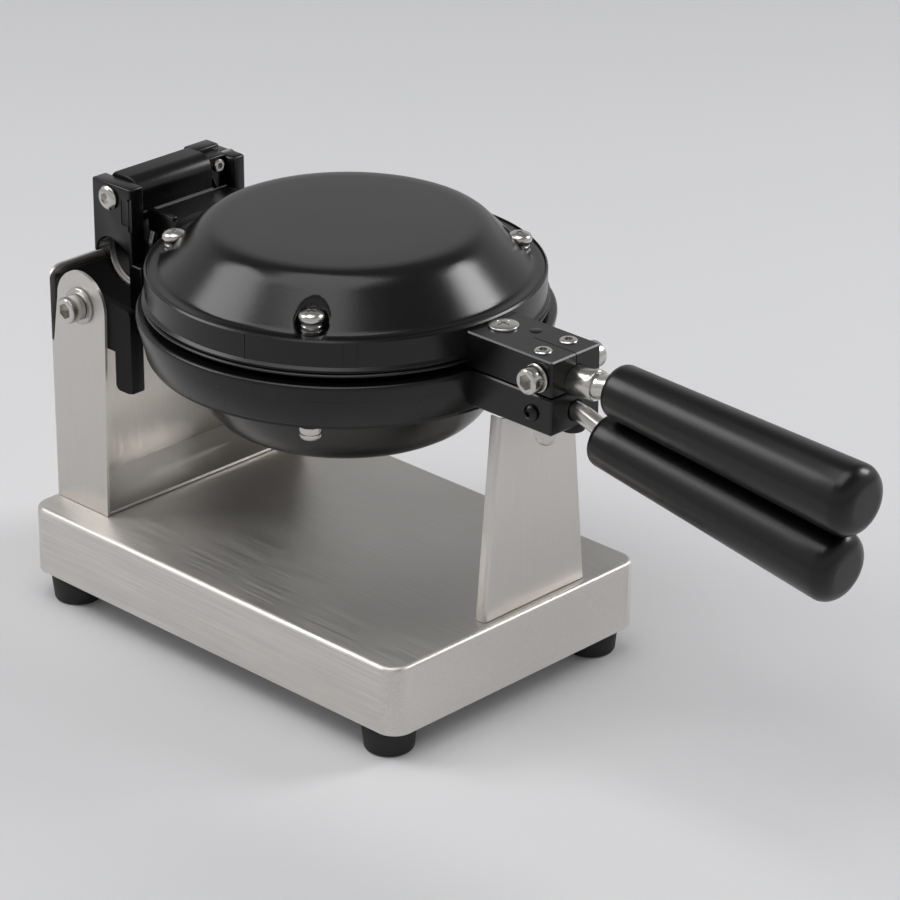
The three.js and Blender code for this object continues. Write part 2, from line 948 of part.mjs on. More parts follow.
piece(base, "front_pedestal", frontPedestal(), "steel");

// Spindle: passes through the bearing, held at the rear by a flanged nut
const hubRear = bearingFront + 2 * clearance;
const nutFront = rearFace - clearance;

function spindle() {
  return alongX(
    rodProfile(spindleRadius, nutFront - spindleTail, wallRearX + hingeWallThickness / 2),
    0,
    turningAxisHeight,
    middleFacets,
  );
}

function spindleNut() {
  const rear = nutFront - spindleTail + spindleFlangeThickness / 2;
  const flangeRear = nutFront - spindleFlangeThickness;
  const flangeRadius = spindleFlangeRadius + spindleFlangeThickness;
  const hexagon = alongX(
    rodProfile(spindleFlangeRadius, rear, flangeRear + overrun),
    0,
    turningAxisHeight,
    hexagonSides,
  );
  const flange = alongX(
    rodProfile(flangeRadius, flangeRear, nutFront),
    0,
    turningAxisHeight,
    middleFacets,
  );
  const bore = alongX(
    rodProfile(spindleRadius + clearance, rear - overrun, nutFront + overrun),
    0,
    turningAxisHeight,
    middleFacets,
  );
  return cut(joined(hexagon, flange), bore);
}

function spindleHub() {
  const front = wallRearX - clearance;
  const shoulder = front - hubNeckLength;
  const bore = spindleRadius + clearance;
  return alongX(
    [
      [bore, hubRear],
      [hubRadius, hubRear],
      [hubRadius, shoulder - hubRingWidth],
      [hubNeckRadius, shoulder - hubRingWidth],
      [hubNeckRadius, front],
      [bore, front],
    ],
    0,
    turningAxisHeight,
    middleFacets,
  );
}

function hubRing() {
  const front = wallRearX - clearance - hubNeckLength;
  const rear = front - hubRingWidth + clearance;
  return alongX(
    [
      [hubNeckRadius + clearance, rear],
      [hubRadius + hubRingProud, rear],
      [hubRadius + hubRingProud, front],
      [hubNeckRadius + clearance, front],
    ],
    0,
    turningAxisHeight,
    middleFacets,
  );
}

piece(iron, "spindle", spindle(), "steel");
piece(iron, "spindle_nut", spindleNut(), "bright");
piece(iron, "spindle_hub", spindleHub(), "casting");
piece(iron, "hub_ring", hubRing(), "bright");

// Hinge bracket: two ears over a wall that carries the lower pan on the spindle
const earRearX = hingePinX - hingeEarRear;
const earFrontX = hingePinX + hingeEarFront;
const hingeTop = turningAxisHeight + hingeEarTop;
const wallLow = turningAxisHeight - hingeWallDepth;
const partingLow = turningAxisHeight - armSplit;
const partingHigh = turningAxisHeight + armSplit;

function hingeEarOutline() {
  const edge = hingeEarEdge;
  const arch = hingeArchRadius;
  const archX = earRearX + edge + arch + edge;
  return outline([
    [earRearX, turningAxisHeight],
    [archX - arch, turningAxisHeight],
    ...arc(archX, turningAxisHeight, arch, 180, hingeArchEnd),
    [earFrontX, turningAxisHeight + arch / 2],
    [earFrontX, hingeTop - edge],
    [earFrontX - edge, hingeTop],
    [earRearX + edge, hingeTop],
    [earRearX, hingeTop - edge],
  ]);
}

function hingeBracket() {
  const near = slabY(hingeEarOutline(), -hingeEarOuter, -hingeEarInner);
  const far = slabY(hingeEarOutline(), hingeEarInner, hingeEarOuter);
  const wall = block(wallRearX, wallFrontX, -hingeEarOuter, hingeEarOuter, wallLow, partingLow);
  const boss = alongX(
    rodProfile(wallBossRadius, wallRearX, wallFrontX),
    0,
    turningAxisHeight,
    middleFacets,
  );
  const postHigh = turningAxisHeight + hingeShelfHeight;
  const nearPost = block(
    wallRearX,
    earFrontX,
    -hingeEarOuter,
    -hingeEarInner,
    partingLow - overrun,
    postHigh,
  );
  const pinBore = alongY(
    rodProfile(runningBore(hingePinRadius, middleFacets), -trayWidth, trayWidth),
    hingePinX,
    hingePinZ,
    middleFacets,
  );
  const boreEnd = wallRearX + hingeWallThickness / 2 + clearance;
  const spindleBore = alongX(
    rodProfile(spindleRadius + clearance, wallRearX - overrun, boreEnd),
    0,
    turningAxisHeight,
    middleFacets,
  );
  const screwBores = [-1, 1].map((side) =>
    alongX(
      rodProfile(bracketScrewRadius + clearance, wallRearX - overrun, wallFrontX + overrun),
      side * bracketScrewSide,
      turningAxisHeight - bracketScrewDepth,
      smallFacets,
    ),
  );
  const lockBore = alongX(
    rodProfile(
      lockScrewRadius + clearance,
      earFrontX - lockScrewDepth - clearance,
      earFrontX + overrun,
    ),
    (hingeEarInner + hingeEarOuter) / 2,
    hingePinZ,
    smallFacets,
  );
  const body = joined(near, far, wall, boss, nearPost, mirroredY(nearPost));
  return cut(body, pinBore, spindleBore, lockBore, ...screwBores);
}

piece(iron, "hinge_bracket", hingeBracket(), "casting");

// Hinge pin with a socket button head near and a plain end far
function hingePin() {
  const seat = -hingeEarOuter - clearance;
  const face = seat - hingePinHeadHeight;
  return alongY(
    [
      [0, hingeEarOuter],
      [hingePinRadius, hingeEarOuter],
      [hingePinRadius, seat],
      [hingePinHeadRadius, seat],
      [hingePinHeadRadius, seat - hingePinHeadHeight / 2],
      [hingePinHeadRadius - hingePinHeadHeight / 2, face],
      [hingePinSocketRadius, face],
      [hingePinSocketRadius, face + hingePinSocketDepth],
      [0, face + hingePinSocketDepth],
    ],
    hingePinX,
    hingePinZ,
    middleFacets,
  );
}

function lockScrew() {
  const rear = earFrontX - lockScrewDepth;
  return alongX(
    roundedBar(lockScrewRadius, rear, earFrontX + lockScrewProud, lockScrewProud / 4),
    (hingeEarInner + hingeEarOuter) / 2,
    hingePinZ,
    smallFacets,
  );
}

piece(iron, "hinge_pin", hingePin(), "bright");
piece(iron, "hinge_lock_screw", lockScrew(), "bright");

// Bracket screws hold the lower pan's rear pad to the wall
function bracketScrew(side) {
  const seat = wallRearX - clearance;
  return alongX(
    [
      [0, seat - bracketScrewHeadHeight],
      [bracketScrewHeadRadius, seat - bracketScrewHeadHeight],
      [bracketScrewHeadRadius, seat],
      [bracketScrewRadius, seat],
      [bracketScrewRadius, wallFrontX + bracketScrewReach],
      [0, wallFrontX + bracketScrewReach],
    ],
    side * bracketScrewSide,
    turningAxisHeight - bracketScrewDepth,
    smallFacets,
  );
}

piece(iron, "bracket_screw_near", bracketScrew(-1), "bright");
piece(iron, "bracket_screw_far", bracketScrew(1), "bright");

// Pan rings
const coverScrewAngles = {
  front_near: -coverScrewFrontAngle,
  front_far: coverScrewFrontAngle,
  rear_near: -coverScrewRearAngle,
  rear_far: coverScrewRearAngle,
};

function onCircle(angle, radius) {
  const turn = THREE.MathUtils.degToRad(angle);
  return [radius * Math.cos(turn), radius * Math.sin(turn)];
}

// One upright bar at each cover screw
function atScrews(circle, radius, low, high) {
  return Object.values(coverScrewAngles).map((angle) => {
    const [x, y] = onCircle(angle, circle);
    return alongZ(rodProfile(radius, low, high), x, y, middleFacets);
  });
}

function raised(profile) {
  return profile.map(([r, z]) => [r, turningAxisHeight + z]);
}

function upperRing() {
  return alongZ(
    raised([
      [ringBoreRadius, plateHold],
      [partingRecessRadius, plateHold],
      [partingRecessRadius, partingRecessHeight],
      [upperFlangeRadius, upperFlangeLow],
      [upperFlangeRadius, upperFlangeHigh],
      [upperRimRadius, upperFlangeHigh + rimEdge],
      [upperRimRadius, upperRingHeight - rimEdge / 2],
      [upperRimRadius - rimEdge / 2, upperRingHeight],
      [coverSeatRadius, upperRingHeight],
      [coverSeatRadius, upperRingHeight - coverSeatDepth],
      [ringFlangeRadius, upperRingHeight - coverSeatDepth],
      [ringFlangeRadius, plateBack + clearance],
      [ringBoreRadius, plateBack + clearance],
    ]),
    0,
    0,
    panFacets,
  );
}

function lowerRing() {
  return alongZ(
    raised([
      [ringBoreRadius, -plateHold],
      [lowerRimRadius - rimEdge, -plateHold],
      [lowerRimRadius, -plateHold - rimEdge],
      [lowerRimRadius, -lowerRimLip],
      [lowerRimRadius - rimEdge, -lowerRimLip - rimEdge],
      [lowerSkirtRadius, -lowerRingDepth + rimEdge],
      [lowerSkirtRadius - rimEdge, -lowerRingDepth],
      [ringFlangeRadius, -lowerRingDepth],
      [ringFlangeRadius, -plateBack - clearance],
      [ringBoreRadius, -plateBack - clearance],
    ]),
    0,
    0,
    panFacets,
  );
}

// Arms: one block above the parting plane and one below it
function armBlock(low, high) {
  const side = armHalfWidth;
  const body = slabX(chamferedRectangle(-side, side, low, high, armEdge), armRoot, armReach);
  const bore = alongZ(
    rodProfile(ringBoreRadius + armEdge, low - overrun, high + overrun),
    0,
    0,
    panFacets,
  );
  return cut(body, bore);
}

const armTop = turningAxisHeight + armHalfHeight;
const armBottom = turningAxisHeight - armHalfHeight;
const upperRodZ = turningAxisHeight + upperRodHeight;
const lowerRodZ = turningAxisHeight - lowerRodDepth;
const rodEnd = armReach - rodInset;

// Turns a body nose down about a line along Y
function drooped(body, degrees, x, z) {
  const turn = new THREE.Matrix4()
    .makeTranslation(x, 0, z)
    .multiply(new THREE.Matrix4().makeRotationY(THREE.MathUtils.degToRad(degrees)))
    .multiply(new THREE.Matrix4().makeTranslation(-x, 0, -z));
  return body.transform(turn.elements);
}

// The upper rod's sleeve seats in a wider bore that reaches into the lower arm, as a groove
function upperRodBore() {
  const far = armReach + 2 * armHalfWidth;
  const narrow = rodProfile(upperRodRadius + clearance, rodEnd - clearance, far);
  const seat = armReach - upperSleeveInset - clearance;
  const wide = rodProfile(upperSleeveRadius + clearance, seat, far);
  const bores = [narrow, wide].map((profile) => alongX(profile, 0, upperRodZ, middleFacets));
  return drooped(joined(...bores), -upperRodRise, armReach, upperRodZ);
}

function lowerRodBore() {
  const far = armReach + 2 * armHalfWidth;
  const profile = rodProfile(lowerRodRadius + 2 * clearance, rodEnd - clearance, far);
  return alongX(profile, 0, lowerRodZ, middleFacets);
}

function lidArm() {
  const front = -ringBoreRadius - armEdge;
  const low = turningAxisHeight + plateHold + armSplit;
  const high = turningAxisHeight + lidArmTop;
  const overHub = turningAxisHeight + hubRadius + hubRingProud + clearance;
  const overBoss = turningAxisHeight + wallBossRadius + clearance;
  const barrelFront = hingePinX + barrelRadius;
  const side = outline([
    [hingePinX, overHub + barrelRadius / 2],
    [wallRearX - clearance, overHub],
    [wallRearX - clearance, overBoss],
    [wallFrontX + clearance, overBoss],
    [wallFrontX + clearance, low],
    [front, low],
    [front, high],
    [barrelFront + lidArmFillet, high],
    [barrelFront, high + lidArmFillet],
    [barrelFront - lidArmFillet / 2, hingePinZ],
    [hingePinX, hingePinZ],
  ]);
  return slabY(side, -lidArmHalfWidth, lidArmHalfWidth);
}

function barrel() {
  const profile = roundedBar(barrelRadius, -barrelHalfWidth, barrelHalfWidth, hingeEarEdge);
  const round = alongY(profile, hingePinX, hingePinZ, middleFacets);
  const top = hingePinZ + barrelFlat;
  const flat = block(
    hingePinX - 2 * barrelRadius,
    hingePinX + 2 * barrelRadius,
    -trayWidth,
    trayWidth,
    top,
    top + 2 * barrelRadius,
  );
  return cut(round, flat);
}

function upperPan() {
  const arm = armBlock(partingHigh, armTop);
  const pinBore = alongY(
    rodProfile(runningBore(hingePinRadius, middleFacets), -trayWidth, trayWidth),
    hingePinX,
    hingePinZ,
    middleFacets,
  );
  const recess = alongZ(
    rodProfile(
      coverSeatRadius,
      turningAxisHeight + upperRingHeight - coverSeatDepth,
      armTop + 2 * barrelRadius,
    ),
    0,
    0,
    panFacets,
  );
  const screwBores = atScrews(
    coverScrewCircle,
    coverScrewShankRadius + clearance,
    turningAxisHeight + plateBack,
    turningAxisHeight + upperRingHeight,
  );
  const body = joined(upperRing(), arm, lidArm(), barrel());
  return cut(
    body,
    pinBore,
    recess,
    upperRodBore(),
    ...armBoltBores(),
    ...armTopBores(),
    ...screwBores,
  );
}

// Screw places on the upper arm
function armBoltBores() {
  const z = turningAxisHeight + armBoltHeight;
  return [
    alongY(
      rodProfile(armBoltRadius + clearance, -armHalfWidth - overrun, armHalfWidth + overrun),
      armReach - armBoltBack,
      z,
      smallFacets,
    ),
  ];
}

function armTopBores() {
  const bores = [-1, 1].map((side) =>
    alongZ(
      rodProfile(
        clampScrewRadius + clearance,
        upperRodZ + upperSleeveRadius / 2,
        armTop + overrun,
      ),
      armReach - clampScrewBack,
      side * clampScrewSpread,
      smallFacets,
    ),
  );
  const large = alongZ(
    rodProfile(armBoltRadius + clearance, armTop - armTopScrewHeadRadius, armTop + overrun),
    armReach - armTopScrewBack,
    0,
    smallFacets,
  );
  return [...bores, large];
}

piece(lid, "upper_pan", upperPan(), "coated");

function lowerPan() {
  const arm = armBlock(armBottom, partingLow);
  const pad = block(
    wallFrontX + clearance,
    -ringBoreRadius - armEdge,
    -rearPadHalfWidth,
    rearPadHalfWidth,
    turningAxisHeight - rearPadDepth,
    turningAxisHeight - plateHold - armSplit,
  );
  const screwZ = turningAxisHeight - bracketScrewDepth;
  const padBores = [-1, 1].map((side) =>
    alongX(
      rodProfile(
        bracketScrewRadius + clearance,
        wallFrontX,
        wallFrontX + bracketScrewReach + clearance,
      ),
      side * bracketScrewSide,
      screwZ,
      smallFacets,
    ),
  );
  const low = turningAxisHeight - lowerRingDepth;
  const coverBores = atScrews(
    lowerScrewCircle,
    coverScrewShankRadius + clearance,
    low - overrun,
    low + lowerScrewReach + clearance,
  );
  const domeBore = alongY(
    rodProfile(domeScrewRadius / 2 + clearance, -armHalfWidth - overrun, -armHalfWidth + domeScrewRadius),
    armReach - domeScrewBack,
    turningAxisHeight - domeScrewDepth,
    smallFacets,
  );
  const stud = armHalfHeight / 3;
  const nutBore = alongZ(
    rodProfile(armBoltRadius + clearance, armBottom - overrun, armBottom + stud + clearance),
    armReach - acornNutBack,
    -acornNutSide,
    smallFacets,
  );
  const bumperBore = alongZ(
    rodProfile(bumperScrewRadius + clearance, armBottom - overrun, armBottom + stud + clearance),
    armReach - bumperBack,
    bumperSide,
    smallFacets,
  );
  return cut(
    joined(lowerRing(), arm, pad),
    upperRodBore(),
    lowerRodBore(),
    domeBore,
    nutBore,
    bumperBore,
    ...padBores,
    ...coverBores,
  );
}

piece(iron, "lower_pan", lowerPan(), "casting");

// Baking plates: a hexagonal field of round cells with a web between them
function cellPlaces() {
  const places = [];
  for (let q = -2 * cellRings; q <= 2 * cellRings; q++) {
    for (let r = -cellRings; r <= cellRings; r++) {
      const x = cellPitch * (q + r / 2);
      const y = cellPitch * r * Math.sin(Math.PI / 3);
      if (Math.hypot(x, y) + cellRadius < plateRadius - plateRimWall) places.push([x, y]);
    }
  }
  return places;
}

function cellTool(x, y) {
  const profile = [[0, -cellDepth]];
  for (let i = 1; i <= cellSteps; i++) {
    const angle = (i / cellSteps) * (Math.PI / 2);
    profile.push([cellRadius * Math.sin(angle), -cellDepth * Math.cos(angle)]);
  }
  profile.push([cellRadius, overrun], [0, overrun]);
  return alongZ(profile, x, y, cellFacets);
}

function bakingPlate() {
  const rim = plateRadius - plateRimWall;
  const disc = alongZ(
    [
      [0, -plateThickness],
      [plateRadius, -plateThickness],
      [plateRadius, webHalfGap - plateHold],
      [rim, webHalfGap - plateHold],
      [rim, 0],
      [0, 0],
    ],
    0,
    0,
    panFacets,
  );
  return cut(disc, ...cellPlaces().map(([x, y]) => cellTool(x, y)));
}

const lowerPlateTop = turningAxisHeight - webHalfGap;
const upperPlateTop = turningAxisHeight + webHalfGap;
const halfTurn = new THREE.Matrix4().makeRotationX(Math.PI);
const lowerPlate = bakingPlate().translate([0, 0, lowerPlateTop]);
const upperPlate = bakingPlate()
  .transform(halfTurn.elements)
  .translate([0, 0, upperPlateTop]);
piece(iron, "lower_baking_plate", lowerPlate, "plate");
piece(lid, "upper_baking_plate", upperPlate, "plate");

// Heaters: a tube bent into an open ring against the back of each plate
class RingCurve extends THREE.Curve {
  constructor(radius, gap, z) {
    super();
    this.radius = radius;
    this.gap = THREE.MathUtils.degToRad(gap);
    this.z = z;
  }
  getPoint(t, target = new THREE.Vector3()) {
    const angle = this.gap / 2 + t * (2 * Math.PI - this.gap);
    return target.set(this.radius * Math.cos(angle), this.radius * Math.sin(angle), this.z);
  }
}

function heater(z) {
  const section = new THREE.Shape();
  section.absarc(0, 0, heaterTubeRadius, 0, 2 * Math.PI, false);
  const tube = new THREE.ExtrudeGeometry(section, {
    steps: heaterSteps,
    curveSegments: heaterFacets,
    extrudePath: new RingCurve(heaterCircle, heaterGapAngle, z),
  });
  return solid(tube);
}

function pressPlate(low) {
  return alongZ(rodProfile(pressPlateRadius, low, low + pressPlateThickness), 0, 0, panFacets);
}

const tubeRise = heaterTubeRadius + clearance;
const upperHeaterZ = upperPlateTop + plateThickness + tubeRise;
const lowerHeaterZ = lowerPlateTop - plateThickness - tubeRise;
piece(lid, "upper_heater", heater(upperHeaterZ), "heater");
piece(iron, "lower_heater", heater(lowerHeaterZ), "heater");
piece(lid, "upper_press_plate", pressPlate(upperHeaterZ + tubeRise), "heater");
const lowerPressLow = lowerHeaterZ - tubeRise - pressPlateThickness;
piece(iron, "lower_press_plate", pressPlate(lowerPressLow), "heater");

// Upper cover: a dome with a scallop round each screw post
function domeProfile(shrink) {
  const seat = upperRingHeight - coverSeatDepth + clearance;
  const foot = seat + coverSheet;
  const top = domeHeight - shrink;
  const base = domeBaseRadius - shrink;
  const edge = domeTopRadius - shrink / 2;
  return raised([
    [0, shrink ? seat - overrun : seat],
    [shrink ? base - domeFillet / 2 : coverSeatRadius - clearance, shrink ? seat - overrun : seat],
    [shrink ? base - domeFillet / 2 : coverSeatRadius - clearance, foot - shrink],
    [base, foot - shrink],
    [base - domeFillet / 2, foot + domeFillet / 2 - shrink],
    [edge + domeBrow, top - domeBrow * domeShoulderShare],
    [edge + domeBrow / 2, top - domeBrow * domeKneeShare],
    [edge, top],
    [0, top],
  ]);
}

function upperCover() {
  const foot = turningAxisHeight + upperRingHeight - coverSeatDepth + clearance + coverSheet;
  const high = turningAxisHeight + domeHeight + overrun;
  const outer = cut(
    alongZ(domeProfile(0), 0, 0, panFacets),
    ...atScrews(coverScrewCircle, scallopRadius, foot, high),
  );
  const inner = cut(
    alongZ(domeProfile(coverSheet), 0, 0, panFacets),
    ...atScrews(coverScrewCircle, scallopRadius + scallopWall, foot - 3 * coverSheet, high),
  );
  const bore = coverScrewShankRadius + clearance;
  const bores = atScrews(coverScrewCircle, bore, foot - 3 * coverSheet, foot + overrun);
  return cut(outer, inner, ...bores);
}

piece(lid, "upper_cover", upperCover(), "coated");

// Lower cover: a deep bowl hung under the lower ring
function bowlProfile(shrink) {
  const seat = -lowerRingDepth - clearance;
  const bottom = -bowlDepth + shrink;
  const top = bowlTopRadius - shrink;
  const base = bowlBottomRadius;
  const round = bowlRound - shrink;
  const points = shrink
    ? [[0, seat + overrun], [top, seat + overrun]]
    : [
        [0, seat],
        [bowlFlangeRadius, seat],
        [bowlFlangeRadius, seat - coverSheet],
        [top + coverSheet, seat - coverSheet],
      ];
  points.push(...arc(base, bottom + round, round, 0, -90).map(([r, z]) => [r, z]));
  points.push([0, bottom]);
  return raised(points);
}

function lowerCover() {
  const outer = alongZ(bowlProfile(0), 0, 0, panFacets);
  const inner = alongZ(bowlProfile(coverSheet), 0, 0, panFacets);
  const seat = turningAxisHeight - lowerRingDepth;
  const bore = coverScrewShankRadius + clearance;
  const bores = atScrews(lowerScrewCircle, bore, seat - 2 * coverSheet, seat + overrun);
  return cut(outer, inner, ...bores);
}

piece(iron, "lower_cover", lowerCover(), "coated");

// Cover screws: a pan head on a post above, and a pan head below
function coverScrew(x, y) {
  const foot = turningAxisHeight + upperRingHeight - coverSeatDepth + 2 * clearance + coverSheet;
  const neck = foot + coverScrewPostHeight;
  const top = neck + coverScrewHeadHeight;
  const tip = turningAxisHeight + plateBack + clearance;
  return alongZ(
    [
      [0, tip],
      [coverScrewShankRadius, tip],
      [coverScrewShankRadius, foot],
      [coverScrewPostRadius, foot],
      [coverScrewPostRadius, neck],
      [coverScrewHeadRadius, neck],
      [coverScrewHeadRadius, neck + coverScrewHeadHeight / 2],
      [coverScrewHeadRadius * screwCrownShare, top],
      [0, top],
    ],
    x,
    y,
    smallFacets,
  );
}

function lowerCoverScrew(x, y) {
  const seat = turningAxisHeight - lowerRingDepth - 2 * clearance - coverSheet;
  const face = seat - lowerScrewHeadHeight;
  const tip = turningAxisHeight - lowerRingDepth + lowerScrewReach;
  return alongZ(
    [
      [0, face],
      [lowerScrewHeadRadius * screwCrownShare, face],
      [lowerScrewHeadRadius, face + lowerScrewHeadHeight / 2],
      [lowerScrewHeadRadius, seat],
      [coverScrewShankRadius, seat],
      [coverScrewShankRadius, tip],
      [0, tip],
    ],
    x,
    y,
    smallFacets,
  );
}

for (const [name, angle] of Object.entries(coverScrewAngles)) {
  const above = coverScrew(...onCircle(angle, coverScrewCircle));
  const below = lowerCoverScrew(...onCircle(angle, lowerScrewCircle));
  piece(lid, "upper_cover_screw_" + name, above, "bright");
  piece(iron, "lower_cover_screw_" + name, below, "bright");
}

// Fasteners of the upper arm
function armBolt() {
  const seat = -armHalfWidth - clearance;
  const face = seat - armBoltHeadHeight;
  const tip = -upperSleeveRadius - 2 * clearance;
  return alongY(
    [
      [0, tip],
      [armBoltRadius, tip],
      [armBoltRadius, seat],
      [armBoltHeadRadius, seat],
      [armBoltHeadRadius, face + clearance],
      [armBoltHeadRadius - clearance, face],
      [armBoltSocketRadius, face],
      [armBoltSocketRadius, face + armBoltSocketDepth],
      [0, face + armBoltSocketDepth],
    ],
    armReach - armBoltBack,
    turningAxisHeight + armBoltHeight,
    smallFacets,
  );
}

function armTopScrew() {
  const seat = armTop + clearance;
  const top = seat + armTopScrewHeadHeight;
  return alongZ(
    [
      [0, armTop - armTopScrewHeadRadius + clearance],
      [armBoltRadius, armTop - armTopScrewHeadRadius + clearance],
      [armBoltRadius, seat],
      [armTopScrewHeadRadius, seat],
      [armTopScrewHeadRadius, seat + armTopScrewHeadHeight / 2],
      [armTopScrewHeadRadius * screwCrownShare, top],
      [0, top],
    ],
    armReach - armTopScrewBack,
    0,
    smallFacets,
  );
}

function clampScrew(side) {
  return alongZ(
    roundedBar(
      clampScrewRadius,
      armTop - clampScrewDepth,
      armTop + clampScrewProud,
      clampScrewProud / 2,
    ),
    armReach - clampScrewBack,
    side * clampScrewSpread,
    smallFacets,
  );
}

piece(lid, "arm_bolt_near", armBolt(), "bright");
piece(lid, "arm_bolt_far", mirroredY(armBolt()), "bright");
piece(lid, "arm_top_screw", armTopScrew(), "bright");
piece(lid, "clamp_screw_near", clampScrew(-1), "bright");
piece(lid, "clamp_screw_far", clampScrew(1), "bright");

// Fasteners of the lower arm
function domeScrew() {
  const seat = -armHalfWidth - clearance;
  return alongY(
    [
      [0, seat - domeScrewProud],
      [domeScrewRadius * domeScrewBrimShare, seat - domeScrewProud * domeScrewBrowShare],
      [domeScrewRadius, seat],
      [domeScrewRadius / 2, seat],
      [domeScrewRadius / 2, seat + domeScrewRadius],
      [0, seat + domeScrewRadius],
    ],
    armReach - domeScrewBack,
    turningAxisHeight - domeScrewDepth,
    smallFacets,
  );
}

const studReach = armHalfHeight / 3;

function acornNut() {
  const seat = armBottom - clearance;
  const low = seat - acornNutHexHeight;
  const cap = arc(0, low, acornNutRadius * acornCapShare, 0, -90);
  return alongZ(
    [
      [0, armBottom + studReach],
      [armBoltRadius, armBottom + studReach],
      [armBoltRadius, seat],
      [acornNutRadius, seat],
      [acornNutRadius, low],
      ...cap,
    ],
    armReach - acornNutBack,
    -acornNutSide,
    smallFacets,
  );
}

function bumper() {
  const seat = armBottom - clearance;
  const low = seat - bumperHeight;
  return alongZ(
    [
      [0, armBottom + studReach],
      [bumperScrewRadius, armBottom + studReach],
      [bumperScrewRadius, seat],
      [bumperRadius, seat],
      [bumperRadius, low + rimEdge],
      [bumperRadius - rimEdge, low],
      [0, low],
    ],
    armReach - bumperBack,
    bumperSide,
    smallFacets,
  );
}

piece(iron, "lower_arm_screw", domeScrew(), "casting");
piece(iron, "acorn_nut", acornNut(), "bright");
piece(iron, "arm_bumper", bumper(), "rubber");

// Rods: each is swept along a line through its arm that bends into its grip
const upperGripZ = turningAxisHeight + upperGripHeight;
const lowerGripZ = turningAxisHeight - lowerGripDepth;

function sweptRod(radius, places) {
  const section = new THREE.Shape();
  section.absarc(0, 0, radius, 0, 2 * Math.PI, false);
  const bar = new THREE.ExtrudeGeometry(section, {
    steps: rodSteps,
    curveSegments: smallFacets / 2,
    extrudePath: new THREE.CatmullRomCurve3(places.map(([x, z]) => new THREE.Vector3(x, 0, z))),
  });
  return solid(bar);
}

// Upper rod: a thicker sleeve where it leaves the arm, rising a little towards its grip
function upperRod() {
  const rise = Math.tan(THREE.MathUtils.degToRad(upperRodRise));
  const fall = Math.tan(THREE.MathUtils.degToRad(upperGripDroop));
  const onLine = (x) => [x, upperRodZ + rise * (x - armReach)];
  const inGrip = (x) => [x, upperGripZ - fall * (x - upperGripStart)];
  const bar = sweptRod(upperRodRadius, [
    onLine(rodEnd),
    onLine(armReach),
    onLine(armReach + upperSleeveLength),
    inGrip(upperGripStart - clearance),
    inGrip(upperGripStart + gripBoreDepth / 2),
    inGrip(upperGripStart + gripBoreDepth - upperRodRadius),
  ]);
  const sleeve = alongX(
    rodProfile(upperSleeveRadius, armReach - upperSleeveInset, armReach + upperSleeveLength),
    0,
    upperRodZ,
    middleFacets,
  );
  return joined(bar, drooped(sleeve, -upperRodRise, armReach, upperRodZ));
}

// Lower rod: leaves the arm level and dips into its grip, above the grip's own middle
function lowerRod() {
  const fall = Math.tan(THREE.MathUtils.degToRad(lowerGripDroop));
  const mouthZ = lowerRodZ - lowerRodDrop;
  const inGrip = (x) => [x, mouthZ - fall * (x - lowerGripStart)];
  return sweptRod(lowerRodRadius, [
    [rodEnd, lowerRodZ],
    [armReach - lowerRodRadius, lowerRodZ],
    [armReach + clearance, lowerRodZ],
    inGrip(lowerGripStart),
    inGrip(lowerGripStart + gripBoreDepth / 2),
    inGrip(lowerGripStart + gripBoreDepth - lowerRodRadius),
  ]);
}

function grip(start, z, droop, bore, boreRise) {
  const end = start + gripLength;
  const mouth = gripMouthRound;
  const shoulder = mouth * mouthShoulderShare;
  const tipRound = gripEndRound;
  const slope = (gripEndRadius - gripRootRadius) / gripLength;
  const profile = [
    [0, start],
    [gripRootRadius - mouth, start],
    [gripRootRadius - shoulder, start + shoulder],
    [gripRootRadius, start + mouth],
    [gripRootRadius + slope * (gripLength - tipRound), end - tipRound],
    ...arc(end - tipRound, gripEndRadius - tipRound, tipRound, gripEndStart, 0).map(([x, r]) => [r, x]),
    [0, end],
  ];
  const hole = rodProfile(bore, start - overrun, start + gripBoreDepth);
  const body = cut(alongX(profile, 0, z, middleFacets), alongX(hole, 0, z + boreRise, middleFacets));
  return drooped(body, droop, start, z);
}

// The upper grip's bore is round its own line; the lower one is raised to where its rod comes in
const upperGripBore = upperRodRadius + 2 * clearance;
const lowerGripBore = lowerRodRadius + 2 * clearance;
const lowerBoreRise = lowerGripDepth - lowerRodDepth - lowerRodDrop;
piece(lid, "upper_rod", upperRod(), "bright");
piece(lid, "upper_grip", grip(upperGripStart, upperGripZ, upperGripDroop, upperGripBore, 0), "grip");
piece(iron, "lower_rod", lowerRod(), "bright");
piece(
  iron,
  "lower_grip",
  grip(lowerGripStart, lowerGripZ, lowerGripDroop, lowerGripBore, lowerBoreRise),
  "grip",
);

// The origin is under the middle of the whole machine, on the surface that it stands on
machine.updateMatrixWorld(true);
const reach = new THREE.Box3().setFromObject(machine);
machine.position.x = -(reach.min.x + reach.max.x) / 2;

const part = new THREE.Group();
part.add(machine);
export default part;
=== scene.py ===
# %% [markdown]
# A bubble waffle maker is a countertop iron that turns over: two round pans close on batter, and the
# cook flips them on a bearing at the rear. This lesson dresses its measured model in finer shapes and
# real-looking finishes. The measured model comes first, because every new piece sits on it.

# %% Load the measured model
import math

import bmesh
import bpy
from mathutils import Matrix, Vector


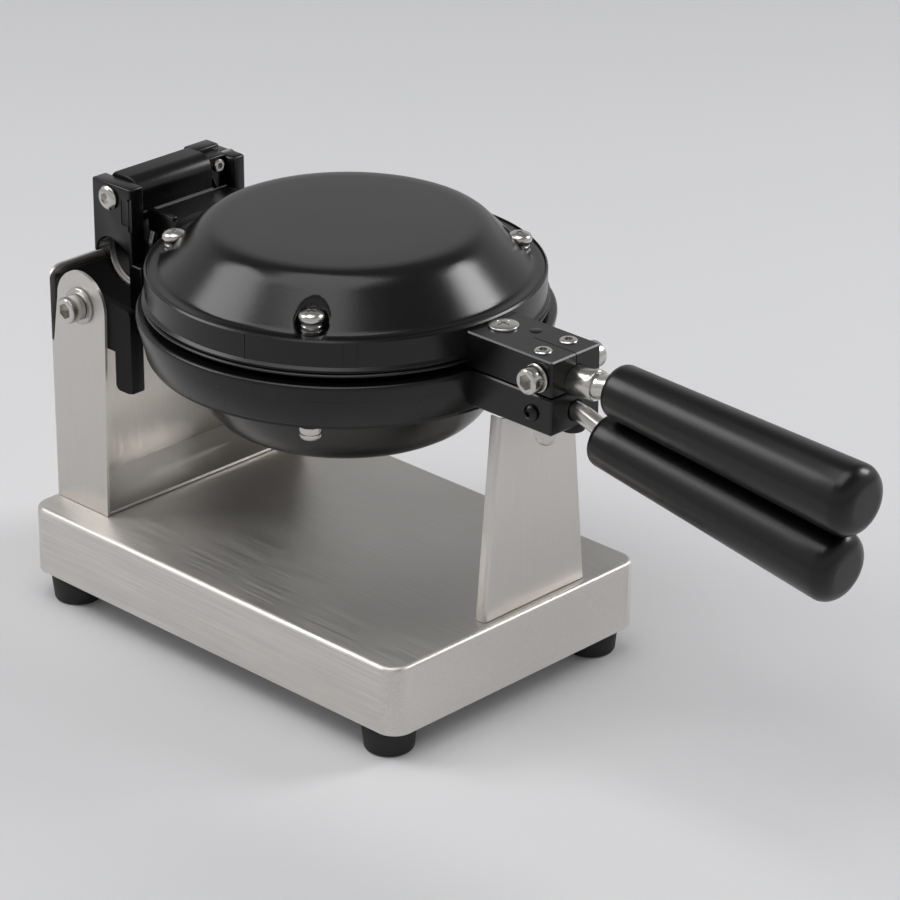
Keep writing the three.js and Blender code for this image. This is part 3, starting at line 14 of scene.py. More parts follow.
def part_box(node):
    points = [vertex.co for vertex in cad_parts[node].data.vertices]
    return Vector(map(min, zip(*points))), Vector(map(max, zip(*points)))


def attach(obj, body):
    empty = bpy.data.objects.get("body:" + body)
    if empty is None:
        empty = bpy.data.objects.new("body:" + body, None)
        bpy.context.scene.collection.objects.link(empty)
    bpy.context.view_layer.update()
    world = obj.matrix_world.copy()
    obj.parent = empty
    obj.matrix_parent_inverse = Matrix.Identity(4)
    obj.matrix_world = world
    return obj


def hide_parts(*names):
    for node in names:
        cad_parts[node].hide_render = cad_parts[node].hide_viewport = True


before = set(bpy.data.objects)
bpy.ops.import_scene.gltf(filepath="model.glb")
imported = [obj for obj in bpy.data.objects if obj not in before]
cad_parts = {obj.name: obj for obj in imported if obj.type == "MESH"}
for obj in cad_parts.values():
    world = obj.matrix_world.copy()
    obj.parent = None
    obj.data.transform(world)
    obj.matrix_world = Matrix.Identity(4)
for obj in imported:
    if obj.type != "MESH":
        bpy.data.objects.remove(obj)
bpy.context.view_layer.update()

# %% [markdown]
# The pans are round and everything on the iron is laid out from their middle, so each piece is drawn
# in millimetres round that point: X towards the grips, Z up from the plane where the pans meet. One
# matrix then takes it to its real place in metres. The middle is read from the measured pieces.

# %% Middle of the pans
bowl_low, bowl_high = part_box("lower_cover")
ring_low, ring_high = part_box("hub_ring")
MIDDLE = Vector(((bowl_low[0] + bowl_high[0]) / 2, 0, (ring_low[2] + ring_high[2]) / 2))
PLACE = Matrix.Translation(MIDDLE) @ Matrix.Scale(0.001, 4)
print("middle of the pans, m:", [round(v, 5) for v in MIDDLE])

# %% [markdown]
# The camera stands front right of the machine and looks down about 25 degrees through a long lens,
# which keeps the tray's edges nearly parallel.

# %% Camera
CAMERA_TURN, CAMERA_TILT, CAMERA_ROLL = 44.26, 24.66, 0.2
CAMERA_TARGET, CAMERA_DISTANCE = (-0.18765, 0.17828, 0.0052), 2.09646
LENS_LENGTH, SENSOR_WIDTH, SIGHT = 155.52, 36, 20


def turned(degrees, axis):
    return Matrix.Rotation(math.radians(degrees), 4, axis)


def linked(name, data):
    """An object in the scene that holds a camera, a lamp or a mesh."""
    thing = bpy.data.objects.new(name, data)
    bpy.context.scene.collection.objects.link(thing)
    return thing


def place_camera():
    lens = bpy.data.cameras.new("camera")
    lens.lens, lens.sensor_width, lens.clip_end = LENS_LENGTH, SENSOR_WIDTH, SIGHT
    camera = linked("camera", lens)
    turn = turned(CAMERA_TURN, "Z") @ turned(90 - CAMERA_TILT, "X") @ turned(CAMERA_ROLL, "Z")
    back = Matrix.Translation((0, 0, CAMERA_DISTANCE))
    camera.matrix_world = Matrix.Translation(CAMERA_TARGET) @ turn @ back
    bpy.context.scene.camera = camera
    return camera


print("camera at, m:", [round(v, 3) for v in place_camera().matrix_world.translation])

# %% [markdown]
# The studio is one pale floor and soft light. A lamp behind on the right gives the dome its sheen, one
# on the left draws the edges of the castings, and a very broad one above fills in. The floor's own
# colour makes the pale background; no light is added for it.

# %% Studio
FLOOR_HALF = 6
LAMPS = {
    # name: place and aim in metres, width and height, watts
    "right_lamp": ((0.74, 1.41, 1.2), (0, 0, 0.17), (0.6, 0.7), 13),
    "left_lamp": ((-1.2, -0.87, 1.35), (0, 0, 0.17), (0.85, 0.9), 11),
    "top_lamp": ((-0.1, -0.6, 2.5), (-0.1, -0.2, 0), (1.9, 1.9), 26),
}


def studio_floor():
    shape = bmesh.new()
    bmesh.ops.create_grid(shape, x_segments=1, y_segments=1, size=FLOOR_HALF)
    mesh = bpy.data.meshes.new("studio_floor")
    shape.to_mesh(mesh)
    shape.free()
    floor = linked("studio_floor", mesh)
    return floor


def soft_lamp(name, place, aim, size, watts):
    lamp = bpy.data.lights.new(name, "AREA")
    lamp.shape = "RECTANGLE"
    lamp.size, lamp.size_y = size
    lamp.energy = watts
    turn = (Vector(place) - Vector(aim)).to_track_quat("Z", "Y").to_matrix().to_4x4()
    linked(name, lamp).matrix_world = Matrix.Translation(place) @ turn


floor = studio_floor()
for name, setting in LAMPS.items():
    soft_lamp(name, *setting)
bpy.context.scene.view_settings.view_transform = "Standard"
print("on stage:", floor.name, *LAMPS)

# %% [markdown]
# Finishes are node materials. Small helpers add a node and fill its sockets, so that each finish reads
# as a list of what is joined to what.

# %% Node helpers
def fill(tree, node, values):
    """Links a socket or sets a value for each named input of a node."""
    for socket, value in values.items():
        if isinstance(value, bpy.types.NodeSocket):
            tree.links.new(value, node.inputs[socket])
        else:
            node.inputs[socket].default_value = value
    return node


def add_node(tree, kind, values=None, **settings):
    made = tree.nodes.new(kind)
    for name, value in settings.items():
        setattr(made, name, value)
    return fill(tree, made, values or {})


def new_group(name, inputs, outputs):
    tree = bpy.data.node_groups.new(name, "ShaderNodeTree")
    for label, value in inputs.items():
        kind = "NodeSocketVector" if isinstance(value, tuple) else "NodeSocketFloat"
        tree.interface.new_socket(label, in_out="INPUT", socket_type=kind).default_value = value
    for label in outputs:
        tree.interface.new_socket(label, in_out="OUTPUT", socket_type="NodeSocketFloat")
    return tree, tree.nodes.new("NodeGroupInput").outputs, tree.nodes.new("NodeGroupOutput").inputs


def grouped(tree, group, values):
    return add_node(tree, "ShaderNodeGroup", values, node_tree=group).outputs


def noise(tree, place, scale, detail, **more):
    values = {"Vector": place, "Scale": scale, "Detail": detail, **more}
    return add_node(tree, "ShaderNodeTexNoise", values).outputs["Fac"]


def ramp_between(tree, value, low, high):
    """Spreads the middle of a noise between two values."""
    values = {"Value": value, "From Min": 0.3, "From Max": 0.7, "To Min": low, "To Max": high}
    return add_node(tree, "ShaderNodeMapRange", values).outputs["Result"]


def mixed_colour(tree, value, first, second):
    values = {"Factor": value, 6: (*first, 1), 7: (*second, 1)}
    return add_node(tree, "ShaderNodeMix", values, data_type="RGBA").outputs[2]


print("node helpers ready")

# %% [markdown]
# The studio is brighter near its walls than overhead, and black and steel faces mirror that. The height
# of a direction drives a soft ramp between two greys.

# %% Studio air
WALL_AIR, CEILING_AIR = (0.56, 0.562, 0.57), (0.20, 0.20, 0.203)
RAMP_START, RAMP_END = 0.35, 0.75


def studio_air():
    world = bpy.data.worlds.new("studio_air")
    bpy.context.scene.world = world
    world.use_nodes = True
    tree = world.node_tree
    direction = add_node(tree, "ShaderNodeTexCoord").outputs["Generated"]
    height = add_node(tree, "ShaderNodeSeparateXYZ", {0: direction}).outputs["Z"]
    values = {"Value": height, "From Min": RAMP_START, "From Max": RAMP_END}
    share = add_node(tree, "ShaderNodeMapRange", values, interpolation_type="SMOOTHSTEP").outputs["Result"]
    colour = mixed_colour(tree, share, WALL_AIR, CEILING_AIR)
    fill(tree, tree.nodes["Background"], {"Color": colour, "Strength": 1})


studio_air()
print("studio air, walls to ceiling:", WALL_AIR[0], CEILING_AIR[0])

# %% [markdown]
# Brushed sheet shows fine parallel streaks. This group stretches a noise along one direction and puts
# out a value for tint, roughness and bump.

# %% Grain group
def make_grain():
    tree, given, result = new_group("grain", {"Vector": (0, 0, 0), "Stretch": (20, 900, 900)}, ["Value"])
    stretched = add_node(
        tree, "ShaderNodeVectorMath", {0: given["Vector"], 1: given["Stretch"]}, operation="MULTIPLY"
    ).outputs[0]
    streaks = noise(tree, stretched, 1.0, 4.0, Roughness=0.6)
    tree.links.new(ramp_between(tree, streaks, 0, 1), result["Value"])
    return tree


GRAIN = make_grain()
print("node group:", GRAIN.name)

# %% [markdown]
# Castings, plastic and powder coats share a pebbled skin. This group has a fine noise for the bump and a
# broad one for slow changes of sheen.

# %% Skin group
def make_skin():
    inputs = {"Vector": (0, 0, 0), "Fine": 1500.0, "Broad": 25.0}
    tree, given, result = new_group("skin", inputs, ["Pebble", "Drift"])
    tree.links.new(noise(tree, given["Vector"], given["Fine"], 2.0), result["Pebble"])
    tree.links.new(noise(tree, given["Vector"], given["Broad"], 3.0), result["Drift"])
    return tree


SKIN = make_skin()
print("node group:", SKIN.name)

# %% [markdown]
# There are three kinds of finish: brushed sheet, turned or plated metal, and a pebbled skin. Brushing
# also stretches the highlights across the grain, and the Tangent does that.

# %% Kinds of finish
BUMP_DEPTH = 0.0002
STREAK_STRETCH = 0.65


def new_material(name):
    material = bpy.data.materials.new(name)
    material.use_nodes = True
    tree = material.node_tree
    place = tree.nodes.new("ShaderNodeTexCoord").outputs["Object"]
    return material, tree, tree.nodes["Principled BSDF"], place


def bumped(tree, height, strength):
    values = {"Height": height, "Strength": strength, "Distance": BUMP_DEPTH}
    return add_node(tree, "ShaderNodeBump", values).outputs["Normal"]


def brushed_sheet(name, stretch, grain, dark, light, rough):
    material, tree, shader, place = new_material(name)
    streaks = grouped(tree, GRAIN, {"Vector": place, "Stretch": stretch})["Value"]
    drift = grouped(tree, SKIN, {"Vector": place, "Fine": 900.0, "Broad": 9.0})["Drift"]
    fine = ramp_between(tree, streaks, rough - 0.03, rough + 0.05)
    slow = ramp_between(tree, drift, -0.02, 0.03)
    facing = tree.nodes.new("ShaderNodeNewGeometry").outputs["Normal"]
    across = add_node(tree, "ShaderNodeVectorMath", {0: facing, 1: grain}, operation="CROSS_PRODUCT")
    fill(tree, shader, {
        "Base Color": mixed_colour(tree, streaks, dark, light),
        "Metallic": 1,
        "Roughness": add_node(tree, "ShaderNodeMath", {0: fine, 1: slow}, operation="ADD").outputs[0],
        "Normal": bumped(tree, streaks, 0.1),
        "Tangent": across.outputs[0],
        "Anisotropic": STREAK_STRETCH,
    })
    return material


def bright_metal(name, tint, rough_low, rough_high):
    material, tree, shader, place = new_material(name)
    drift = grouped(tree, SKIN, {"Vector": place, "Fine": 700.0, "Broad": 60.0})["Drift"]
    fill(tree, shader, {
        "Base Color": mixed_colour(tree, drift, [c * 0.9 for c in tint], tint),
        "Metallic": 1,
        "Roughness": ramp_between(tree, drift, rough_low, rough_high),
    })
    return material


def pebbled_skin(name, dark, light, rough_low, rough_high, fine, strength, gloss=0.42):
    material, tree, shader, place = new_material(name)
    skin = grouped(tree, SKIN, {"Vector": place, "Fine": fine, "Broad": 22.0})
    fill(tree, shader, {
        "Base Color": mixed_colour(tree, skin["Pebble"], dark, light),
        "Roughness": ramp_between(tree, skin["Drift"], rough_low, rough_high),
        "Normal": bumped(tree, skin["Pebble"], strength),
        "Specular IOR Level": gloss,
    })
    return material


print("kinds of finish: sheet, metal, skin")

# %% [markdown]
# Each finish is one row of numbers. The blacks are far darker than they look, because most of what one
# sees of them is reflection.

# %% Finishes
SHEETS = {
    # finish: stretch of the streaks, direction of the grain, dark tint, light tint, roughness
    "brushed_stainless": ((22, 2300, 2300), (1, 0.1, 0), (0.58, 0.557, 0.528), (0.74, 0.713, 0.678), 0.40),
    "upright_stainless": ((2300, 2300, 22), (0, 0.1, 1), (0.65, 0.625, 0.594), (0.71, 0.684, 0.65), 0.42),
}
METALS = {
    # finish: tint, lowest and highest roughness
    "bright_steel": ((0.62, 0.60, 0.57), 0.19, 0.28),
    "turned_steel": ((0.52, 0.505, 0.485), 0.22, 0.32),
    "heater_steel": ((0.24, 0.22, 0.2), 0.35, 0.5),
}
SKINS = {
    # finish: dark tint, light tint, lowest and highest roughness, fineness and height of the pebbles
    "black_casting": ((0.0014, 0.0014, 0.0015), (0.0028, 0.0028, 0.0029), 0.21, 0.29, 1400.0, 0.12),
    # a darker, rougher copy of black_casting for the carrier: its lower tint is painted shade, standing in
    # for the shadow the carrier sits in behind the pan
    "matt_black_painted_shade": ((0.0012, 0.0012, 0.0013), (0.0026, 0.0026, 0.0027), 0.5, 0.6, 1100.0, 0.12, 0.2),
    "satin_black": ((0.0032, 0.0032, 0.0034), (0.0052, 0.0052, 0.0054), 0.185, 0.22, 1300.0, 0.2),
    "coated_plate": ((0.022, 0.021, 0.020), (0.034, 0.033, 0.031), 0.3, 0.4, 1200.0, 0.08),
    "black_grip": ((0.0015, 0.0015, 0.0016), (0.0027, 0.0027, 0.0028), 0.25, 0.30, 1000.0, 0.06),
    "foot_rubber": ((0.010, 0.010, 0.010), (0.016, 0.016, 0.016), 0.6, 0.75, 900.0, 0.2),
    "studio_floor": ((0.68, 0.68, 0.69), (0.68, 0.68, 0.69), 0.8, 0.9, 5.0, 0.0),
}
MATERIALS = {
    name: kind(name, *row)
    for kind, rows in ((brushed_sheet, SHEETS), (bright_metal, METALS), (pebbled_skin, SKINS))
    for name, row in rows.items()
}
floor.data.materials.append(MATERIALS["studio_floor"])
print("finishes:", *MATERIALS)

# %% [markdown]
# Every piece starts as a bmesh and is shaped by bmesh operators, which spin a profile, extrude an
# outline or round edges. Shapes are drawn along Z and laid along the machine (X) or across it (Y).

# %% Shape helpers
TO_X = Matrix(((0, 0, 1, 0), (1, 0, 0, 0), (0, 1, 0, 0), (0, 0, 0, 1)))
TO_Y = Matrix(((1, 0, 0, 0), (0, 0, -1, 0), (0, 1, 0, 0), (0, 0, 0, 1)))


def moved(shape, x=0, y=0, z=0, turn=None):
    """Turns a shape, then shifts it by millimetres."""
    matrix = Matrix.Translation((x, y, z)) @ (turn or Matrix.Identity(4))
    bmesh.ops.transform(shape, matrix=matrix, verts=shape.verts)
    return shape


def on_circle(turn, radius):
    return radius * math.cos(math.radians(turn)), radius * math.sin(math.radians(turn))


def hexagon(radius, start=0):
    return [on_circle(60 * i + start, radius) for i in range(6)]


def spread(start, end, steps):
    """Evenly spaced values, both ends included."""
    return [start + (end - start) * i / steps for i in range(steps + 1)]


def arc_points(a, b, radius, start, end, steps=12):
    """Points of an arc, in degrees."""
    dots = [on_circle(turn, radius) for turn in spread(start, end, steps)]
    return [(a + across, b + along) for across, along in dots]


def rounded_outline(a0, a1, b0, b1, radius, steps=10):
    """A rectangle with round corners, anticlockwise."""
    left, right, low, high = a0 + radius, a1 - radius, b0 + radius, b1 - radius
    centres = (right, low), (right, high), (left, high), (left, low)
    corners = [arc_points(*at, radius, 90 * i - 90, 90 * i, steps) for i, at in enumerate(centres)]
    return sum(corners, [])


def rectangle(a0, a1, b0, b1):
    return [(a0, b0), (a1, b0), (a1, b1), (a0, b1)]


def spun(profile, steps=96, closed=False):
    """Spins (radius, height) points once round Z."""
    shape = bmesh.new()
    dots = [shape.verts.new((r, 0, h)) for r, h in profile]
    lines = [shape.edges.new(pair) for pair in zip(dots, dots[1:])]
    if closed:
        lines.append(shape.edges.new((dots[-1], dots[0])))
    bmesh.ops.spin(
        shape, geom=dots + lines, cent=(0, 0, 0), axis=(0, 0, 1), angle=2 * math.pi, steps=steps,
        use_merge=True,
    )
    bmesh.ops.remove_doubles(shape, verts=shape.verts, dist=1e-4)
    bmesh.ops.recalc_face_normals(shape, faces=shape.faces)
    return shape


def extruded(points, low, high):
    """Extrudes a flat outline of (a, b) points from one height to another."""
    shape = bmesh.new()
    face = shape.faces.new([shape.verts.new((a, b, low)) for a, b in points])
    grown = bmesh.ops.extrude_face_region(shape, geom=[face])["geom"]
    top = [v for v in grown if isinstance(v, bmesh.types.BMVert)]
    bmesh.ops.translate(shape, vec=(0, 0, high - low), verts=top)
    bmesh.ops.recalc_face_normals(shape, faces=shape.faces)
    return shape


def block(x0, x1, y0, y1, z0, z1):
    shape = bmesh.new()
    matrix = Matrix.Translation(((x0 + x1) / 2, (y0 + y1) / 2, (z0 + z1) / 2))
    matrix = matrix @ Matrix.Diagonal((x1 - x0, y1 - y0, z1 - z0, 1))
    bmesh.ops.create_cube(shape, size=1, matrix=matrix)
    return shape


def bar(radius, low, high, steps=48):
    return spun([(0, low), (radius, low), (radius, high), (0, high)], steps)


def bar_x(radius, low, high, steps=48, y=0, z=0):
    return moved(bar(radius, low, high, steps), 0, y, z, TO_X)


def bar_y(radius, x, z, steps=48, low=-90, high=90):
    return moved(bar(radius, low, high, steps), x, 0, z, TO_Y)


def plate_x(outline, low, high):
    return moved(extruded(outline, low, high), turn=TO_X)


def plate_y(outline, low, high):
    return moved(extruded(outline, low, high), turn=TO_Y)


def spun_x(profile, steps=96, closed=True):
    return moved(spun(profile, steps, closed), turn=TO_X)


def rounded(shape, edges, width, segments, clamp=False):
    bmesh.ops.bevel(
        shape, geom=edges, offset=width, offset_type="OFFSET", segments=segments, profile=0.5,
        affect="EDGES", material=-1, clamp_overlap=clamp,
    )
    return shape


def soften(shape, width, angle=30, segments=2):
    """Rounds every edge that turns more than the angle, as real edges are."""
    sharp = [e for e in shape.edges if e.is_manifold and e.calc_face_angle(0) > math.radians(angle)]
    return rounded(shape, sharp, width, segments, clamp=True)


def thickened(shape, thickness):
    """Gives a surface the thickness of sheet, inwards."""
    bmesh.ops.recalc_face_normals(shape, faces=shape.faces)
    bmesh.ops.solidify(shape, geom=shape.faces[:], thickness=thickness)
    return shape


print("a rounded cube has", len(soften(block(0, 1, 0, 1, 0, 1), 0.1).faces), "faces")

# %% [markdown]
# Shapes are then put together or cut, and a finished one is written into an object on the body that
# carries it, in place of the measured nodes that it dresses.

# %% Cutting and finishing
PIECES = []


def together(*shapes):
    """Puts several shapes into the first one, without joining their surfaces."""
    whole = shapes[0]
    for shape in shapes[1:]:
        mesh = bpy.data.meshes.new("passing")
        shape.to_mesh(mesh)
        whole.from_mesh(mesh)
        bpy.data.meshes.remove(mesh)
        shape.free()
    return whole


def carved(shape, *tools, operation="DIFFERENCE"):
    """Cuts tools out of a shape."""
    shapes = (shape, *tools)
    body, *cutters = [linked("workpiece", bpy.data.meshes.new("workpiece")) for _ in shapes]
    for thing, source in zip([body, *cutters], shapes):
        source.to_mesh(thing.data)
        source.free()
    for cutter in cutters:
        step = body.modifiers.new("carve", "BOOLEAN")
        step.operation = operation
        step.solver = "EXACT"
        step.object = cutter
    bpy.context.view_layer.update()
    result = bmesh.new()
    result.from_mesh(body.evaluated_get(bpy.context.evaluated_depsgraph_get()).data)
    for thing in [body, *cutters]:
        mesh = thing.data
        bpy.data.objects.remove(thing)
        bpy.data.meshes.remove(mesh)
    bmesh.ops.remove_doubles(result, verts=result.verts, dist=1e-4)
    return result


def joined(*shapes):
    return carved(*shapes, operation="UNION")


def common(*shapes):
    """Keeps what all the shapes share."""
    return carved(*shapes, operation="INTERSECT")


def finished(shape, name, body, finish, *nodes, sharp=40):
    """Writes a shape into a named piece in its real place, on the body that carries it."""
    moved(shape, turn=PLACE)
    mesh = bpy.data.meshes.new(name)
    shape.to_mesh(mesh)
    shape.free()
    mesh.shade_smooth()
    mesh.set_sharp_from_angle(angle=math.radians(sharp))
    mesh.materials.append(MATERIALS[finish])
    piece = linked(name, mesh)
    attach(piece, body)
    if nodes:
        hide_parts(*nodes)
    PIECES.append(piece)
    print(name, len(mesh.polygons), "faces")
    return piece


print("ready to cut and finish pieces")

# %% [markdown]
# Places that several pieces share are written once, in millimetres from the middle of the pans.

# %% Shared places
AXIS_HEIGHT = 174.5
FLOOR, TRAY_TOP = -AXIS_HEIGHT, 50 - AXIS_HEIGHT
TRAY_REAR, TRAY_FRONT, TRAY_SIDE = -141.0, 115.55, 83.75
PEDESTAL_LOW, SHEET = TRAY_TOP + 0.3, 1.6
REAR_FACE, WEB_FRONT, REAR_HALF = -140.65, -139.05, 67
FRONT_BACK, FRONT_FACE, FRONT_SIDE, TAIL_HALF = 108.95, 110.55, 15, 26
EAR_BOLT_X, EAR_BOLT_Z, EAR_BOLT_HOLE = -115.45, 158.6 - AXIS_HEIGHT, 4.3
BEARING_FRONT, BEARING_REAR = -135.55, -138.75
WALL_REAR, WALL_FRONT = -110.0, -101.0
PIN_X, PIN_Z, PIN_HOLE = -122.6, 30.9, 4.1
PARTING, PAN_BORE = 0.35, 86
ARM_REACH, ARM_HALF, ARM_TOP = 147.8, 16.1, 18.1
UPPER_ROD_Z, LOWER_ROD_Z = 5.3, -9.6
NEAR_SIDE, FAR_SIDE, UPSIDE_DOWN = turned(90, "X"), turned(-90, "X"), turned(180, "X")
SIDES = {"near": (-1, NEAR_SIDE), "far": (1, FAR_SIDE)}
SCREW_TURNS = {"front_near": -55, "front_far": 55, "rear_near": -147, "rear_far": 147}
print("turning axis, mm above the floor:", AXIS_HEIGHT)

# %% [markdown]
# The tray is one folded sheet with an open underside. A block's upright corners and top edge are
# bevelled, its bottom face is taken away and the wall gets its thickness inwards. A slot lets the front
# pedestal's tail through.

# %% Tray
TRAY_SKIRT = 15.2 - AXIS_HEIGHT
TRAY_SHEET, CORNER_RADIUS, TOP_EDGE, SLOT_PLAY = 1.5, 10, 2.6, 0.3


def height_of(edge):
    return abs(edge.verts[0].co.z - edge.verts[1].co.z)


def tray():
    shape = block(TRAY_REAR, TRAY_FRONT, -TRAY_SIDE, TRAY_SIDE, TRAY_SKIRT, TRAY_TOP)
    rounded(shape, [e for e in shape.edges if height_of(e) > 1], CORNER_RADIUS, 12)
    rim = [
        e for e in shape.edges
        if min(v.co.z for v in e.verts) > TRAY_TOP - 0.1 and e.calc_face_angle(0) > 1
    ]
    rounded(shape, rim, TOP_EDGE, 6)
    under = [f for f in shape.faces if f.normal.z < -0.9]
    bmesh.ops.delete(shape, geom=under, context="FACES_ONLY")
    half = TAIL_HALF + SLOT_PLAY
    slot = block(
        FRONT_BACK - SLOT_PLAY, FRONT_FACE + SLOT_PLAY, FRONT_SIDE - half, FRONT_SIDE + half,
        TRAY_TOP - 2.5, TRAY_TOP + 1,
    )
    return carved(thickened(shape, TRAY_SHEET), slot)


finished(tray(), "tray_shell", "base", "brushed_stainless", "base_tray")

# %% [markdown]
# The feet are turned rubber cones with a hollow underneath, where a screw holds each one.

# %% Feet
FOOT_TOP = 15 - AXIS_HEIGHT
FOOT = [
    (6.5, FLOOR), (10.6, FLOOR), (11.5, FLOOR + 0.5), (12, FLOOR + 1.4), (13.3, FOOT_TOP - 1),
    (12.8, FOOT_TOP), (2.8, FOOT_TOP), (2.8, FLOOR + 6), (6.5, FLOOR + 6),
]
for place in SCREW_TURNS:
    low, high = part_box("foot_" + place)
    centre = PLACE.inverted() @ ((Vector(low) + Vector(high)) / 2)
    shape = moved(spun(FOOT, 48, closed=True), centre.x, centre.y)
    finished(shape, "rubber_foot_" + place, "base", "foot_rubber", "foot_" + place)

# %% [markdown]
# The rear pedestal is bent from one sheet: a wide U on plan, cut to the outline of the back web with its
# round tongue and to that of the two ears, which keeps the bends true. A small bevel makes the cut
# edges catch the light.

# %% Rear pedestal
EAR_STEP, SHOULDER = 134 - AXIS_HEIGHT, 171.5 - AXIS_HEIGHT
SHOULDER_RADIUS, TONGUE_RADIUS, EAR_RADIUS, WEB_BORE = 9, 33, 17.4, 11.4


def web_outline():
    start = math.degrees(math.asin(-SHOULDER / TONGUE_RADIUS))
    side, wide = REAR_HALF, REAR_HALF + 3
    across, height = side - SHOULDER_RADIUS, SHOULDER - SHOULDER_RADIUS
    return [
        (-wide, TRAY_TOP - 1), (wide, TRAY_TOP - 1), (wide, EAR_STEP), (side, EAR_STEP),
        *arc_points(across, height, SHOULDER_RADIUS, 0, 90, 10),
        *arc_points(0, 0, TONGUE_RADIUS, -start, 180 + start, 48),
        *arc_points(-across, height, SHOULDER_RADIUS, 90, 180, 10),
        (-side, EAR_STEP), (-wide, EAR_STEP),
    ]


def ear_outline():
    return [
        (REAR_FACE - 2, PEDESTAL_LOW), (REAR_FACE + 39.5, PEDESTAL_LOW),
        *arc_points(EAR_BOLT_X, EAR_BOLT_Z, EAR_RADIUS, -2, 180, 40),
        (REAR_FACE + 4, EAR_STEP), (REAR_FACE - 2, EAR_STEP),
    ]


def pedestal_wall():
    """The wide U, higher and deeper than the web and the ears that are cut from it."""
    front, inside_half = -60, REAR_HALF - SHEET
    outline = rounded_outline(REAR_FACE, front, -REAR_HALF, REAR_HALF, 4)
    room = rounded_outline(WEB_FRONT, front + 40, -inside_half, inside_half, 4 - SHEET)
    return carved(extruded(outline, PEDESTAL_LOW, 30), extruded(room, TRAY_TOP - 1, 32))


def ear_bolt_hole():
    return bar_y(EAR_BOLT_HOLE, EAR_BOLT_X, EAR_BOLT_Z, 32)


def rear_pedestal():
    web = common(pedestal_wall(), plate_x(web_outline(), REAR_FACE - 1, WEB_FRONT))
    ears = common(pedestal_wall(), plate_y(ear_outline(), -70, 70))
    flange = block(WEB_FRONT - 0.8, REAR_FACE + 39.2, -64.6, 64.6, PEDESTAL_LOW, PEDESTAL_LOW + SHEET)
    soften(flange, 0.3)
    bore = bar_x(WEB_BORE, REAR_FACE - 2, WEB_FRONT + 2)
    whole = carved(joined(web, ears), bore, ear_bolt_hole())
    return together(soften(whole, 0.22, angle=50), flange)


finished(rear_pedestal(), "bent_pedestal", "base", "upright_stainless", "rear_pedestal", sharp=30)

# %% [markdown]
# The front pedestal is a tapered plate with narrow returned edges, on which the lower arm rests. Its
# top is hollowed, so that the arm can turn away, and its tail goes through the tray's slot.

# %% Front pedestal
FRONT_TOP, RETURN, FOOT_HALF, HEAD_HALF, ARM_HOLLOW = -18.4, 104.95, 34.5, 25, 24.5


def tapered_face(trim, low, high):
    foot, head = FOOT_HALF - trim, HEAD_HALF - trim
    return [(FRONT_SIDE + a, b) for a, b in ((-foot, low), (foot, low), (head, high), (-head, high))]


def front_pedestal():
    face = tapered_face(0, PEDESTAL_LOW, FRONT_TOP)
    room = tapered_face(SHEET, PEDESTAL_LOW - 1, FRONT_TOP + 1)
    body = plate_x(face, RETURN, FRONT_FACE)
    bends = [e for e in body.edges if min(v.co.x for v in e.verts) > FRONT_FACE - 0.1 and height_of(e) > 50]
    rounded(body, bends, 2, 5)
    plate = carved(body, plate_x(room, RETURN - 9, FRONT_BACK), bar_x(ARM_HOLLOW, 90, 120, 96))
    soften(plate, 0.25, angle=50)
    side, low = (FRONT_SIDE - TAIL_HALF, FRONT_SIDE + TAIL_HALF), TRAY_TOP - 3.4
    tail = block(FRONT_BACK, FRONT_FACE, *side, low, PEDESTAL_LOW)
    shelf = block(FRONT_FACE - 24, FRONT_BACK, *side, low, low + SHEET)
    return together(plate, tail, shelf)


finished(front_pedestal(), "tapered_pedestal", "base", "upright_stainless", "front_pedestal", sharp=30)

# %% [markdown]
# Between the ears sits the bearing's carrier: a black plate with two cheeks, each with a leg that hangs
# down behind the pan. They are joined, and the bearing's seat and the bolt holes are bored through.

# %% Bearing carrier
CARRIER_HALF, CHEEK, PLATE, PLATE_CORNER, BEARING_SEAT = 65.1, 4, 2.4, 15, 31.3
LEG_REAR, LEG_FRONT, LEG_LOW, LEG_THICK = -93.3, -81.6, -53.7, 8.6


def cheek_outline():
    return [
        (BEARING_REAR, -34), (LEG_REAR, -34), (LEG_REAR, -50),
        *arc_points(LEG_REAR + 3, LEG_LOW + 3, 3, 180, 270, 6),
        *arc_points(LEG_FRONT - 3, LEG_LOW + 3, 3, 270, 360, 6), (LEG_FRONT, -16),
        *arc_points(LEG_FRONT - 4, -14, 4, 0, 90, 8), (-104, -8.5), (-110, -7.5), (BEARING_REAR, -7.5),
    ]


def carrier():
    corner = CARRIER_HALF - PLATE_CORNER
    plate = [
        (-CARRIER_HALF, -52.5), (CARRIER_HALF, -52.5), *arc_points(corner, -21.6, PLATE_CORNER, 0, 90, 12),
        *arc_points(-corner, -21.6, PLATE_CORNER, 90, 180, 12),
    ]
    back = plate_x(plate, BEARING_REAR, BEARING_REAR + PLATE)
    cheeks = [plate_y(cheek_outline(), low, low + CHEEK) for low in (-CARRIER_HALF, CARRIER_HALF - CHEEK)]
    legs = [
        soften(block(LEG_REAR, LEG_FRONT, low, low + LEG_THICK, LEG_LOW, -21), 1.2, segments=3)
        for low in (-CARRIER_HALF, CARRIER_HALF - LEG_THICK)
    ]
    whole = joined(back, *cheeks, *legs)
    whole = carved(whole, bar_x(BEARING_SEAT, BEARING_REAR - 1, BEARING_FRONT + 4, 96), ear_bolt_hole())
    bend = extruded(rounded_outline(BEARING_REAR, 80, -CARRIER_HALF, CARRIER_HALF, 4), -60, 10)
    return soften(common(whole, bend), 0.5, angle=50)


# the carrier takes the darker copy of the casting finish, whose tint is painted shade
finished(carrier(), "carrier_plate", "base", "matt_black_painted_shade", "bearing_carrier", sharp=35)

# %% [markdown]
# The bearing is a wide turned ring round a black face. Each is one profile spun round its axis, with
# small steps for the grooves that a lathe leaves.

